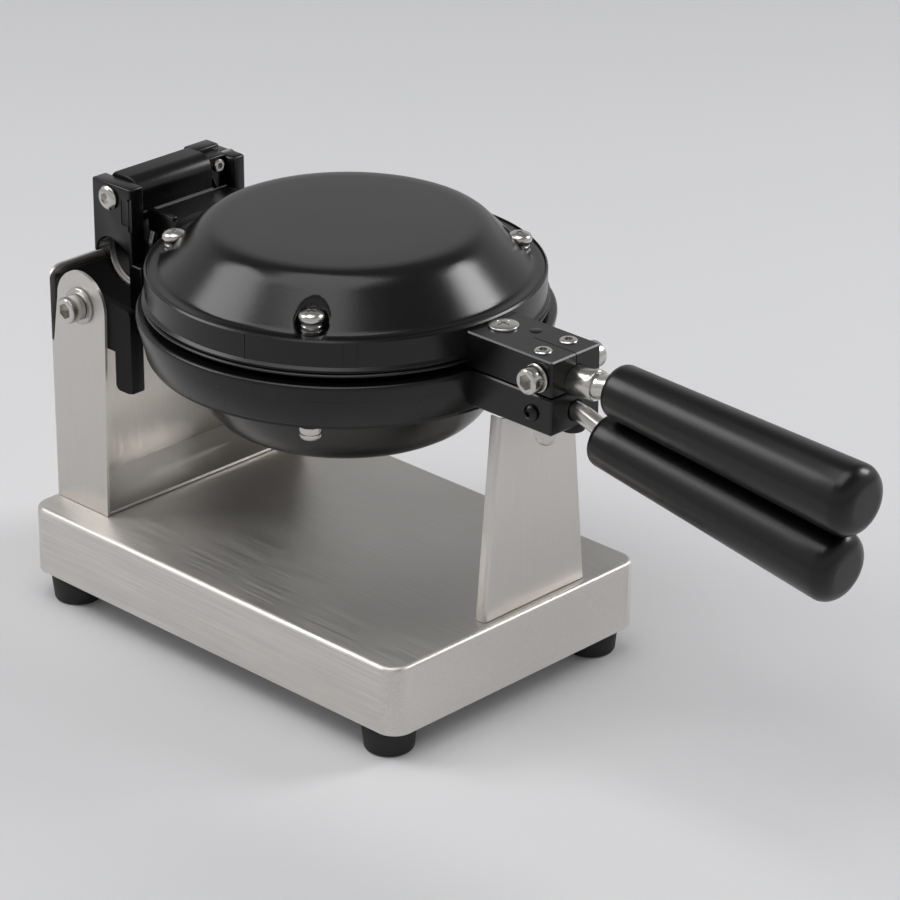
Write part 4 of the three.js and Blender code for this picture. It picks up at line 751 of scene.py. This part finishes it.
# %% Bearing
SPINDLE_HOLE = 8.3
rear, band, disc = BEARING_REAR, BEARING_FRONT + 1.2, BEARING_FRONT - 0.7
BAND = [
    (27.5, rear), (31, rear), (31, band - 0.5), (30.5, band), (29.6, band), (29.4, band - 0.25),
    (29.2, band), (28, band), (27.5, band - 0.5),
]
DISC = [
    (8.06, rear), (27.2, rear), (27.2, disc - 0.3), (26.9, disc), (21.5, disc), (21.3, disc - 0.35),
    (20.9, disc - 0.35), (20.7, disc), (13, disc), (12.8, disc - 0.3), (8.06, disc - 0.3),
]
finished(spun_x(BAND, 128), "bearing_band", "base", "turned_steel", "bearing_ring", sharp=25)
finished(spun_x(DISC, 128), "bearing_disc", "base", "black_casting", "bearing_face", sharp=25)

# %% [markdown]
# The spindle runs in that bearing. A flanged nut holds it behind the web, where some thread shows, and
# in front it carries a black collar with a bright band.

# %% Spindle, nut and collar
THREAD_START, THREAD_PITCH, THREAD_TURNS = -149.3, 1.4, 6
HUB = [
    (SPINDLE_HOLE, -134.93), (17.6, -134.93), (18.2, -134.4), (18.2, -127.6), (17.95, -127.3), (18.2, -127),
    (18.2, -120.7), (17.8, -120.3), (14.5, -120.3), (14.5, -110.8), (14.1, -110.3), (SPINDLE_HOLE, -110.3),
]
HUB_BAND = [
    (14.8, -120), (18.4, -120), (18.8, -119.6), (18.8, -117.7), (18.4, -117.3), (15.2, -117.3),
    (14.8, -117.6),
]


def spindle():
    thread = []
    for i in range(THREAD_TURNS):
        low = THREAD_START + THREAD_PITCH * i
        thread += [(7.3, low), (8, low + 0.5), (8, low + 0.8)]
    profile = [(0, -149.95), (6.9, -149.95), *thread, (8, -140.5), (8, -105.5), (0, -105.5)]
    return spun_x(profile, 64, closed=False)


def flange_nut():
    nut = plate_x(hexagon(12), -147.95, -144.5)
    chamfer = spun_x([(0, -149), (10.6, -149), (12.6, -147), (12.6, -144), (0, -144)], 64, closed=False)
    nut = common(nut, chamfer)
    flange = [
        (0, -145), (14.6, -145), (15.7, -144.5), (16, -143.6), (16, -141.2), (15.7, -140.95), (0, -140.95),
    ]
    whole = joined(nut, spun_x(flange, 64, closed=False))
    return soften(carved(whole, bar_x(SPINDLE_HOLE, -152, -138)), 0.3, angle=50)


finished(spindle(), "spindle_bar", "iron", "turned_steel", "spindle", sharp=25)
finished(flange_nut(), "spindle_flange_nut", "iron", "bright_steel", "spindle_nut", sharp=30)
finished(spun_x(HUB), "hub_collar", "iron", "black_casting", "spindle_hub", sharp=25)
finished(spun_x(HUB_BAND), "hub_band", "iron", "turned_steel", "hub_ring", sharp=25)

# %% [markdown]
# Socket bolts hold the carrier through both ears. Their heads are turned and knurled, the hexagon is
# cut with a six-sided tool, and the washer under each is a flat ring with broken edges.

# %% Socket bolts and washers
EAR_WASHER_FACE, EAR_WASHER_BACK = 69.2, 67.3


def hexagon_tool(radius, low, high):
    return extruded(hexagon(radius, 30), low, high)


def socket_bolt(head, height, shank, reach, socket, depth, knurl):
    """A bolt along Z with its seat at zero, its head above and its shank below."""
    steps = 96
    profile = [
        (0, -reach), (shank - 0.4, -reach), (shank, -reach + 0.4), (shank, 0), (head - 0.2, 0), (head, 0.2),
        (head, height - 1.1), (head - 0.35, height - 0.45), (head - 1.0, height), (0, height),
    ]
    shape = spun(profile, steps)
    for vert in shape.verts:
        radius = math.hypot(vert.co.x, vert.co.y)
        turn = round(math.atan2(vert.co.y, vert.co.x) / (2 * math.pi / steps))
        if abs(radius - head) < 0.05 and turn % 2:
            vert.co.x *= 1 - knurl / radius
            vert.co.y *= 1 - knurl / radius
    return carved(shape, hexagon_tool(socket, height - depth, height + 1))


def washer(inner, outer, thickness):
    profile = [
        (inner, 0), (outer - 0.2, 0), (outer, 0.2), (outer, thickness - 0.25), (outer - 0.25, thickness),
        (inner + 0.2, thickness), (inner, thickness - 0.2),
    ]
    return spun(profile, 64, closed=True)


for name, (side, turn) in SIDES.items():
    bolt = socket_bolt(6.6, 8, 4, 8.1, 4.1, 4, knurl=0.22)
    bolt = moved(bolt, EAR_BOLT_X, side * EAR_WASHER_FACE, EAR_BOLT_Z, turn)
    ring = moved(washer(4.3, 9.2, 1.6), EAR_BOLT_X, side * EAR_WASHER_BACK, EAR_BOLT_Z, turn)
    finished(bolt, "ear_bolt_" + name, "base", "bright_steel", "side_bolt_" + name, sharp=30)
    finished(ring, "ear_washer_" + name, "base", "turned_steel", "side_washer_" + name, sharp=30)

# %% [markdown]
# The hinge bracket is a black casting with two ears that hold the pin. The near ear is a plain cheek
# with a shallow recess at its front edge; the far one has a set-back face for the lock screw beside a
# proud post.

# %% Hinge bracket
EAR_REAR, EAR_FRONT, EAR_TOP, BRACKET_HALF = -135.2, -107.6, 38.3, 40.5
LOCK_Y, LOCK_SEAT = 26.7, -118.5


def ear_side(top):
    """Side view of an ear, with an arch over the spindle's collar."""
    arch = arc_points(-123.3, 0, 9.5, 180, 60, 16)
    return [
        (EAR_REAR, 0), *arch, (WALL_REAR, 4.75), (WALL_REAR, -6), (EAR_FRONT, -6), (EAR_FRONT, top),
        (EAR_REAR, top),
    ]


def cast_slab(outline, low, high, edge=0.8):
    """An outline in X and Z, extruded between two places along Y, with softened edges."""
    return soften(plate_y(outline, -high, -low), edge, angle=50, segments=3)


def hinge_bracket():
    near = cast_slab(ear_side(EAR_TOP), -BRACKET_HALF, -31.5, 1)
    dent = soften(block(-114.2, -108.9, -42, -40.05, 19, 32), 0.35)
    step = soften(block(-109.4, EAR_FRONT + 2, -42, -39.6, 16.5, 33.5), 0.35)
    near = carved(near, dent, step)
    post = cast_slab(rectangle(EAR_REAR, -113, 6, 34.6), 31.6, BRACKET_HALF, 1.6)
    far_rear = cast_slab(rectangle(EAR_REAR, -126, 9, EAR_TOP), 19, 35, 1.2)
    set_back = cast_slab(rectangle(EAR_REAR, LOCK_SEAT, 9, 35.6), 17.2, 33, 1)
    foot = cast_slab(ear_side(14), 31.5, 40.4)
    wall = block(WALL_REAR, WALL_FRONT, -BRACKET_HALF, BRACKET_HALF, -25, -PARTING)
    wall = soften(wall, 1, segments=3)
    boss = bar_x(13, WALL_REAR, WALL_FRONT, 64)
    whole = joined(near, post, far_rear, set_back, foot, wall, boss)
    pin = bar_y(PIN_HOLE, PIN_X, PIN_Z)
    axle = bar_x(SPINDLE_HOLE, WALL_REAR - 1, -105.2)
    lock = bar_x(3.5, -123, -117, 32, LOCK_Y, PIN_Z)
    screws = [bar_x(2.8, WALL_REAR - 1, WALL_FRONT + 1, 24, y, -12) for y in (-24.5, 24.5)]
    return carved(whole, pin, axle, lock, *screws)


finished(hinge_bracket(), "hinge_casting", "iron", "black_casting", "hinge_bracket", sharp=35)

# %% [markdown]
# The pin goes through both ears and the barrel. A button head with a hexagon closes it on the near
# side, and a lock screw in the far ear keeps it from walking out.

# %% Hinge pin and lock screw
PIN = [
    (0, -81.3), (3.5, -81.3), (4, -80.8), (4, 0), (5.9, 0), (6.1, 0.25), (6.1, 0.9), (5.5, 1.7), (4.3, 2.3),
    (3, 2.6), (0, 2.6),
]
LOCK = [(0, -3), (3.2, -3), (3.2, 1.5), (2.7, 2), (0, 2)]
pin = moved(carved(spun(PIN, 64), hexagon_tool(3.1, 0.8, 4)), PIN_X, -40.8, PIN_Z, NEAR_SIDE)
finished(pin, "hinge_pin_bar", "iron", "bright_steel", "hinge_pin", sharp=30)
lock = moved(carved(spun(LOCK, 48), hexagon_tool(1.7, 0.3, 3)), LOCK_SEAT, LOCK_Y, PIN_Z, TO_X)
finished(lock, "lock_screw", "iron", "bright_steel", "hinge_lock_screw", sharp=30)

# %% [markdown]
# The upper pan is one casting: a ring round the baking plate, half of the front arm, and a short rear
# arm with the hinge barrel. The ring has a double lip at the parting line and three thin mould lines.

# %% Upper ring
RING_STEPS, WALL_RADIUS = 180, 95.4


def mould_line(turn):
    line = block(WALL_RADIUS - 1, WALL_RADIUS + 0.25, -0.25, 0.25, 7, 19.1)
    return moved(soften(line, 0.12), turn=turned(turn, "Z"))


def upper_ring():
    profile = [
        (84.6, 0.6), (93, 0.6), (93, 2.2), (96.3, 2.5), (96.9, 3), (96.9, 3.6), (96.3, 4.2), (95.3, 4.4),
        (95.3, 5), (96.3, 5.2), (96.6, 5.6), (96.6, 6), (WALL_RADIUS, 7.2), (WALL_RADIUS, 19.2), (94.7, 20),
        (94.4, 20), (94.4, 17.6), (78, 17.6), (78, 14.5), (84.6, 14.5),
    ]
    ring = soften(spun(profile, RING_STEPS, closed=True), 0.15, angle=60)
    return together(ring, *[mould_line(turn) for turn in (-73.25, -45.25, -41.25)])


ring = upper_ring()
print("upper ring:", len(ring.faces), "faces")

# %% [markdown]
# The front arm is cast in two halves, one on each pan. Each is a block with chamfered edges, trimmed
# round to the ring, with room for the two rods and holes for its screws.

# %% Upper half of the arm
ARM_ROOT, ROD_DEPTH, SLEEVE_DEPTH = 68.5, 26.3, 12.3
UPPER_LEAN = turned(-5, "Y")
ARM_BOLT_X, ARM_BOLT_Z = ARM_REACH - 8.8, 8.6
SET_SCREW_X, SET_SCREW_Y = ARM_REACH - 12.7, 8.4
FLAT_SCREW_X = ARM_REACH - 45.2


def rod_room(radius, length, height, lean=None):
    return moved(bar_x(radius, -length, 40), ARM_REACH, 0, height, lean)


def upper_rod_rooms():
    bores = (6.3, ROD_DEPTH), (7.6, SLEEVE_DEPTH)
    return [rod_room(radius, depth, UPPER_ROD_Z, UPPER_LEAN) for radius, depth in bores]


def arm_half(low, high, *rooms):
    arm = soften(block(ARM_ROOT, ARM_REACH, -ARM_HALF, ARM_HALF, low, high), 0.7, segments=1)
    return carved(arm, bar(PAN_BORE, low - 1, high + 1, 128), *rooms)


def upper_arm():
    bolt = bar_y(3.3, ARM_BOLT_X, ARM_BOLT_Z, 24, -20, 20)
    clamps = [moved(bar(3.9, 9, 20, 32), SET_SCREW_X, side * SET_SCREW_Y) for side in (-1, 1)]
    top = moved(bar(3.3, 11.7, 20, 24), FLAT_SCREW_X)
    seam = block(ARM_REACH - 26, ARM_REACH + 1, -0.25, 0.25, 12, 19)
    arm = arm_half(PARTING, ARM_TOP, *upper_rod_rooms(), bolt, *clamps, top, seam)
    pad = soften(bar(3.0, 17.9, 18.35, 32), 0.15)
    return together(arm, moved(pad, ARM_REACH - 31, 6.5))


arm = upper_arm()
print("upper half of the arm:", len(arm.faces), "faces")

# %% [markdown]
# At the rear the lid hangs on its barrel, which is narrower at its far end, where the bracket's set-back
# face stands, and clears both ears.

# %% Barrel and upper casting
SHELF_REAR, SHELF_FRONT = WALL_REAR - 0.3, WALL_FRONT + 0.3


def barrel_side():
    """Section of the barrel: flat on top, a round shoulder and an upright front above the shelf."""
    rear_low = arc_points(PIN_X, PIN_Z, 11, 125, 270, 24)
    front = arc_points(-119.6, 32, 8, 0, 90, 10)
    return [
        *rear_low, (SHELF_REAR, 19.1), (SHELF_REAR, 13.3), (SHELF_FRONT, 13.3), (SHELF_FRONT, 1),
        (-86, 1), (-86, 22.5), (-110.6, 22.5), (-111.6, 23.5), *front,
    ]


def lid_arm():
    barrel = cast_slab(barrel_side(), -31.2, 26, 0.6)
    barrel = carved(barrel, block(PIN_X - 20, -110.9, 16.8, 30, 5, 60))
    barrel = carved(barrel, *[block(-110.9, -80, y0, y1, -5, 60) for y0, y1 in ((-40, -26), (26, 40))])
    rib = soften(block(-111.5, -93, -26, -22.5, 13.5, 24.2), 0.8, segments=3)
    pin = bar_y(PIN_HOLE, PIN_X, PIN_Z)
    whole = joined(barrel, rib)
    return carved(whole, pin, bar(94.5, 17.6, 60, 128), bar(PAN_BORE, 0, 60, 128))


finished(together(ring, arm, lid_arm()), "upper_casting", "lid", "black_casting", "upper_pan", sharp=35)

# %% [markdown]
# The lower pan is the other half: its rim is a little wider, so that it shows as a step below the
# parting line, and its skirt tapers down to the bowl. A pad at its rear meets the bracket's wall.

# %% Lower pan
BUTTON_X, NUT_X, NUT_Y, BUMPER_X, BUMPER_Y = ARM_REACH - 12, ARM_REACH - 10, -8.6, ARM_REACH - 8, 7


def lower_ring():
    profile = [
        (84.6, -0.6), (98.5, -0.6), (99.2, -0.85), (99.8, -1.45), (100, -2.1), (100, -3.6), (98.9, -8.4),
        (98.4, -8.75), (95.8, -21.4), (95.3, -21.9), (78, -21.9), (78, -14.5), (84.6, -14.5),
    ]
    return soften(spun(profile, RING_STEPS, closed=True), 0.3, angle=60)


def lower_arm():
    rooms = [rod_room(5.2, ROD_DEPTH, LOWER_ROD_Z), *upper_rod_rooms()]
    screw = bar_y(2.4, BUTTON_X, LOWER_ROD_Z, 24, -20, -10)
    studs = [moved(bar(2.4, -20, -12, 24), x, y) for x, y in ((NUT_X, NUT_Y), (BUMPER_X, BUMPER_Y))]
    return arm_half(-ARM_TOP, -PARTING, *rooms, screw, *studs)


def rear_pad():
    pad = soften(block(SHELF_FRONT, -86, -31, 31, -20, -1), 1.2, segments=3)
    return carved(pad, bar(PAN_BORE, -30, 5, 128))


whole = together(lower_ring(), lower_arm(), rear_pad())
finished(whole, "lower_casting", "iron", "black_casting", "lower_pan", sharp=35)

# %% [markdown]
# The dome is pressed sheet with a flat top, a round shoulder and a straight slope. It is spun as a
# smooth shell; then the points near a screw sink to the flange, with a short soft wall, as sheet does
# where it is pressed round a post. Solidify gives the sheet its thickness inwards.

# %% Dome cover
DOME_FLANGE, DOME_SHEET, DOME_STEPS, SLOPE_STEPS = 19.4, 1.3, 480, 16
SCREW_CIRCLE, SCALLOP, SCALLOP_WALL = 83.5, 6.3, 1.6


def dome_profile():
    foot = [(94.2, 19.2), *[(r, DOME_FLANGE) for r in (94.0, 92, 90)], (88.9, 19.5), (88.0, 19.85)]
    slope = zip(spread(87.3, 72.4, SLOPE_STEPS), spread(20.4, 36.2, SLOPE_STEPS))
    shoulder = [(70.3, 38.3), (67.9, 40.1), (65.3, 41.3), (62.4, 41.85), (58, 42)]
    return [*foot, *slope, *shoulder, (40, 42), (20, 42), (0, 42)]


def sink_at_screws(shape):
    posts = [on_circle(turn, SCREW_CIRCLE) for turn in SCREW_TURNS.values()]
    for vert in [v for v in shape.verts if v.co.z > DOME_FLANGE]:
        reach = min(math.hypot(vert.co.x - x, vert.co.y - y) for x, y in posts)
        share = min(1, max(0, (reach - SCALLOP) / SCALLOP_WALL))
        vert.co.z = DOME_FLANGE + (vert.co.z - DOME_FLANGE) * share * share * (3 - 2 * share)


def dome():
    shape = spun(dome_profile(), DOME_STEPS)
    sink_at_screws(shape)
    return thickened(shape, DOME_SHEET)


finished(dome(), "dome_cover", "lid", "satin_black", "upper_cover", sharp=60)

# %% [markdown]
# The bowl under the lower pan hides the second heater. It is the same kind of shell, deeper and
# rounder, hung by its flange.

# %% Bowl cover
OUTSIDE = [
    (94.2, -22.3), (94.2, -23.8), (83.5, -23.8), (81.8, -24.6), (79.5, -28), (76.6, -33.5), (73.8, -38.2),
    (71.6, -42), (69.6, -45.3), (67.2, -48.6), (64.2, -51.6), (60.5, -53.9), (56, -55.2), (50, -55.5),
    (0, -55.5),
]
INSIDE = [(0, -54), (50, -54), (60, -52.3), (66, -47.5), (70, -41.2), (78, -27.5), (79, -22.3)]
bowl = spun(OUTSIDE + INSIDE, RING_STEPS, closed=True)
finished(bowl, "bowl_cover", "iron", "satin_black", "lower_cover")

# %% [markdown]
# Every screw of the covers is a bright cross-head on a ribbed post. Head, neck and collar are one spun
# profile, and two crossed wedges cut the drive.

# %% Cover screws
BOWL_SCREW_CIRCLE, BOWL_SEAT, WEDGE_HALF = 89, -24.1, 0.42
POST = [
    (0, -5.2), (2.4, -5.2), (2.4, 0), (5, 0), (5.2, 0.3), (5.2, 1.4), (4.6, 1.7), (4.6, 2.3), (5, 2.6),
    (5, 3.6), (4.6, 3.9), (4.7, 4.4), (5.3, 5.1), (5.9, 6.1), (6.05, 7.1), (5.95, 8.1), (5.4, 9.1),
    (4.4, 9.8), (3, 10.3), (1.5, 10.5), (0, 10.5),
]
BOWL_POST = [
    (0, -9.6), (2.4, -9.6), (2.4, 0), (5, 0), (5.3, 0.3), (5.3, 2.6), (4.9, 2.9), (4.9, 3.5), (5.3, 3.8),
    (5.3, 5), (4.9, 5.9), (4.1, 6.6), (2.8, 7.1), (1.4, 7.3), (0, 7.3),
]


def cross_tool(size, low, high):
    arms = []
    for turn in (0, 90):
        arm = extruded(rectangle(-size, size, -WEDGE_HALF, WEDGE_HALF), low, high)
        for vert in arm.verts:
            if vert.co.z < (low + high) / 2:
                vert.co.x *= 0.55
        arms.append(moved(arm, turn=turned(turn, "Z")))
    return arms


for name, turn in SCREW_TURNS.items():
    x, y = on_circle(turn, SCREW_CIRCLE)
    screw = carved(spun(POST, 64), *cross_tool(2.9, 8.9, 11.5))
    screw = moved(screw, x, y, DOME_FLANGE + 0.02, turned(turn * 1.7, "Z"))
    finished(screw, "cover_screw_" + name, "lid", "bright_steel", "upper_cover_screw_" + name)
    x, y = on_circle(turn, BOWL_SCREW_CIRCLE)
    screw = moved(carved(spun(BOWL_POST, 64), *cross_tool(2.6, 5.8, 8.5)), x, y, BOWL_SEAT, UPSIDE_DOWN)
    finished(screw, "bowl_screw_" + name, "iron", "bright_steel", "lower_cover_screw_" + name)

# %% [markdown]
# The arm carries its own fasteners: a socket bolt on each side that clamps the two rods, two set
# screws on top over the sleeve, one large flat cross-head further back, and a black button screw below.

# %% Arm fasteners
ARM_SEAT, ARM_CHEEK = 18.12, 16.4
SET_SCREW = [
    (0, 15.6), (3.5, 15.6), (3.5, ARM_SEAT), (4.3, ARM_SEAT), (4.3, 18.4), (3.9, 18.8), (3.3, 19), (0, 19),
]


def flat_screw():
    head, height = 7.2, 1.7
    crown = [(head * a, height * (0.45 + 0.55 * b)) for a, b in arc_points(0, 0, 1, 0, 80, 10)]
    profile = [(0, -5.8), (3, -5.8), (3, 0), (head - 0.15, 0), (head, 0.15), *crown, (0, height)]
    return carved(spun(profile, 64), *cross_tool(4.6, height - 1.5, height + 1))


def button_screw():
    crown = [(4 * a, 2.6 * b) for a, b in arc_points(0, 0, 1, 9, 81, 8)]
    shape = spun([(0, -3.4), (2.2, -3.4), (2.2, 0), (4, 0), *crown, (0, 2.6)], 48)
    return carved(shape, hexagon_tool(1.5, 1.2, 4))


for name, (side, turn) in SIDES.items():
    bolt = together(socket_bolt(6.3, 7.6, 3, 8.5, 3.9, 4, knurl=0.2), washer(3.2, 6.9, 1.1))
    bolt = moved(bolt, ARM_BOLT_X, side * ARM_CHEEK, ARM_BOLT_Z, turn)
    finished(bolt, "clamp_bolt_" + name, "lid", "bright_steel", "arm_bolt_" + name, sharp=30)
    grub = carved(spun(SET_SCREW, 48), hexagon_tool(2.2, 16.6, 20))
    grub = moved(grub, SET_SCREW_X, side * SET_SCREW_Y)
    finished(grub, "set_screw_" + name, "lid", "bright_steel", "clamp_screw_" + name, sharp=30)

screw = moved(flat_screw(), FLAT_SCREW_X, 0, ARM_SEAT)
finished(screw, "flat_screw", "lid", "bright_steel", "arm_top_screw")
screw = moved(button_screw(), BUTTON_X, -ARM_CHEEK, LOWER_ROD_Z, NEAR_SIDE)
finished(screw, "button_screw", "iron", "black_casting", "lower_arm_screw")

# %% [markdown]
# Under the arm hang a capped nut and a rubber bumper, on which the iron lands when it is turned back.

# %% Capped nut and bumper
BUMPER = [
    (0, -12.2), (1.9, -12.2), (1.9, -18.4), (5.7, -18.4), (6, -18.8), (6, -22.6), (5.7, -23.5), (5, -23.9),
    (3.2, -23.9), (2.9, -23.5), (2.9, -22), (0, -22),
]


def capped_nut():
    chamfer = spun([(0, -22.9), (5.0, -22.9), (6.2, -21.8), (6.2, -18.9), (5.6, -18.4), (0, -18.4)], 48)
    nut = common(extruded(hexagon(6), -22.4, -18.4), chamfer)
    cap = spun([(0, -21.5), (4.9, -21.5), *arc_points(0, -22.6, 4.9, 0, -81, 9), (0, -27.5)], 48)
    return together(soften(nut, 0.2, angle=40), cap, bar(2.2, -19, -12.2, 32))


finished(moved(capped_nut(), NUT_X, NUT_Y), "capped_nut", "iron", "bright_steel", "acorn_nut", sharp=30)
bumper = moved(spun(BUMPER, 48), BUMPER_X, BUMPER_Y)
finished(bumper, "rubber_bumper", "iron", "foot_rubber", "arm_bumper")

# %% [markdown]
# The grips are turned handles: a rounded mouth, a slow taper that widens outwards and a well rounded
# end. They are spun on their own axis and leaned by the droop of their rods. The lower rod enters its
# grip above the middle, so that bore is raised.

# %% Grips
UPPER_GRIP_X, UPPER_GRIP_Z, UPPER_DROOP = 172.3, 8.2, 4.0
LOWER_GRIP_X, LOWER_GRIP_Z, LOWER_DROOP, LOWER_RISE = 164.8, -17.9, 7.4, 4.1
TAPER_RADII, TAPER_ENDS, TAPER_STEPS = (12.85, 16.8), (3.6, 134), 12


def grip(bore, rise, x, z, droop):
    taper = zip(spread(*TAPER_RADII, TAPER_STEPS), spread(*TAPER_ENDS, TAPER_STEPS))
    end = [(r, along) for along, r in arc_points(133.95, 7.9, 9, 78, 0, 12)]
    mouth = [(0, 0), (9.7, 0), (10.8, 0.3), (11.8, 1.0), (12.5, 2.1)]
    body = spun([*mouth, *taper, *end, (0, 142.95)])
    body = carved(body, moved(bar(bore, -2, 60), 0, rise))
    return moved(moved(body, turn=TO_X), x, 0, z, turned(droop, "Y"))


upper = grip(6.6, 0, UPPER_GRIP_X, UPPER_GRIP_Z, UPPER_DROOP)
finished(upper, "upper_handle", "lid", "black_grip", "upper_grip")
lower = grip(5.2, LOWER_RISE, LOWER_GRIP_X, LOWER_GRIP_Z, LOWER_DROOP)
finished(lower, "lower_handle", "iron", "black_grip", "lower_grip")

# %% [markdown]
# Each rod is spun with many rings, and its points are then shifted along the line that the real one
# bends to: straight out of the arm, a smooth change of slope, and straight into the grip.

# %% Rods
ROD_START, SLEEVE_END = 121.8, 161.8


def bent_line(x, x0, z0, slope0, x1, z1, slope1):
    """Straight before the first point and past the second, with a cubic between them."""
    if x < x0:
        return z0 + slope0 * (x - x0)
    if x > x1:
        return z1 + slope1 * (x - x1)
    span = x1 - x0
    t = (x - x0) / span
    return (
        (2 * t**3 - 3 * t**2 + 1) * z0 + (t**3 - 2 * t**2 + t) * span * slope0
        + (3 * t**2 - 2 * t**3) * z1 + (t**3 - t**2) * span * slope1
    )


def rod(profile, *line):
    shape = moved(spun(profile, 64), turn=TO_X)
    for vert in shape.verts:
        vert.co.z += bent_line(vert.co.x, *line)
    return shape


def rod_rings(radius, start, end, count):
    return [(radius, along) for along in spread(start, end, count)]


rise = math.tan(math.radians(5))
upper_fall, lower_fall = -math.tan(math.radians(UPPER_DROOP)), -math.tan(math.radians(LOWER_DROOP))
upper_profile = [
    (0, ROD_START), *rod_rings(6, ROD_START, 135.7, 4), (7.4, 135.8), *rod_rings(7.4, 136, 160.9, 8),
    (7.25, 161.4), (6.9, SLEEVE_END), (6.1, SLEEVE_END), *rod_rings(6, 162.2, 226, 30), (0, 226),
]
lower_profile = [(0, ROD_START), *rod_rings(4.6, ROD_START, 220, 60), (0, 220)]
sleeve_z = UPPER_ROD_Z + rise * (SLEEVE_END - ARM_REACH)
upper = rod(upper_profile, SLEEVE_END, sleeve_z, rise, UPPER_GRIP_X, UPPER_GRIP_Z, upper_fall)
finished(upper, "upper_bar", "lid", "bright_steel", "upper_rod", sharp=25)
lower_z = LOWER_GRIP_Z + LOWER_RISE
lower = rod(lower_profile, ARM_REACH, LOWER_ROD_Z, 0, LOWER_GRIP_X, lower_z, lower_fall)
finished(lower, "lower_bar", "iron", "bright_steel", "lower_rod", sharp=25)

# %% [markdown]
# The baking plates make the waffle's bubbles: each is a coated disc with thirty-one round cells in
# rows and a low wall round its rim. One cell is spun with a rounded lip, as on a real casting, repeated
# at every place, and all are cut from the disc at once.

# %% Baking plates
CELL_PITCH, CELL_REACH, CELL_RADIUS, CELL_DEPTH = 26.4, 11.4, 10.9, 8.8
PLATE_FIELD, PLATE_FACE = 82.3, -2.2


def cell_places():
    """A grid of equal triangles, as far as whole cells fit in the plate."""
    steps = [(q + r / 2, r * math.sin(math.pi / 3)) for q in range(-6, 7) for r in range(-3, 4)]
    places = [(CELL_PITCH * a, CELL_PITCH * b) for a, b in steps]
    return [(x, y) for x, y in places if math.hypot(x, y) + CELL_REACH < PLATE_FIELD]


def baking_plate():
    profile = [
        (0, -14.2), (84.3, -14.2), (84.3, -0.9), (84.0, -0.6), (82.8, -0.6), (82.3, -1.1), (82.1, -2.0),
        (81.6, PLATE_FACE), (0, PLATE_FACE),
    ]
    arc = arc_points(0, 0, 1, 0, 76.5, 9)
    hollow = [(CELL_RADIUS * out, PLATE_FACE - CELL_DEPTH * down) for down, out in arc]
    cell = [*hollow, *arc_points(11.6, -2.9, 0.7, 180, 90, 5), (11.6, -1), (0, -1)]
    cells = [moved(spun(cell, 36), x, y) for x, y in cell_places()]
    return carved(spun(profile, RING_STEPS), together(*cells))


print("cells in a plate:", len(cell_places()))
finished(baking_plate(), "lower_waffle_plate", "iron", "coated_plate", "lower_baking_plate", sharp=35)
upper = moved(baking_plate(), turn=UPSIDE_DOWN)
finished(upper, "upper_waffle_plate", "lid", "coated_plate", "upper_baking_plate", sharp=35)

# %% [markdown]
# What stays hidden in use keeps its measured mesh: the heaters, their pressing plates, the plate under
# the tray, and the screws of the feet and the bracket. They get the finishes of their real materials.

# %% Finishes of the measured pieces
HEATING = ("upper_heater", "lower_heater", "upper_press_plate", "lower_press_plate")
SCREWS = ("bracket_screw_near", "bracket_screw_far", *("foot_screw_" + place for place in SCREW_TURNS))
HIDDEN_FINISH = {
    "base_plate": "brushed_stainless", **dict.fromkeys(HEATING, "heater_steel"),
    **dict.fromkeys(SCREWS, "bright_steel"),
}
for name, finish in HIDDEN_FINISH.items():
    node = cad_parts[name]
    node.data.materials.clear()
    node.data.materials.append(MATERIALS[finish])
print("pieces:", len(PIECES), "measured nodes kept:", len(HIDDEN_FINISH))
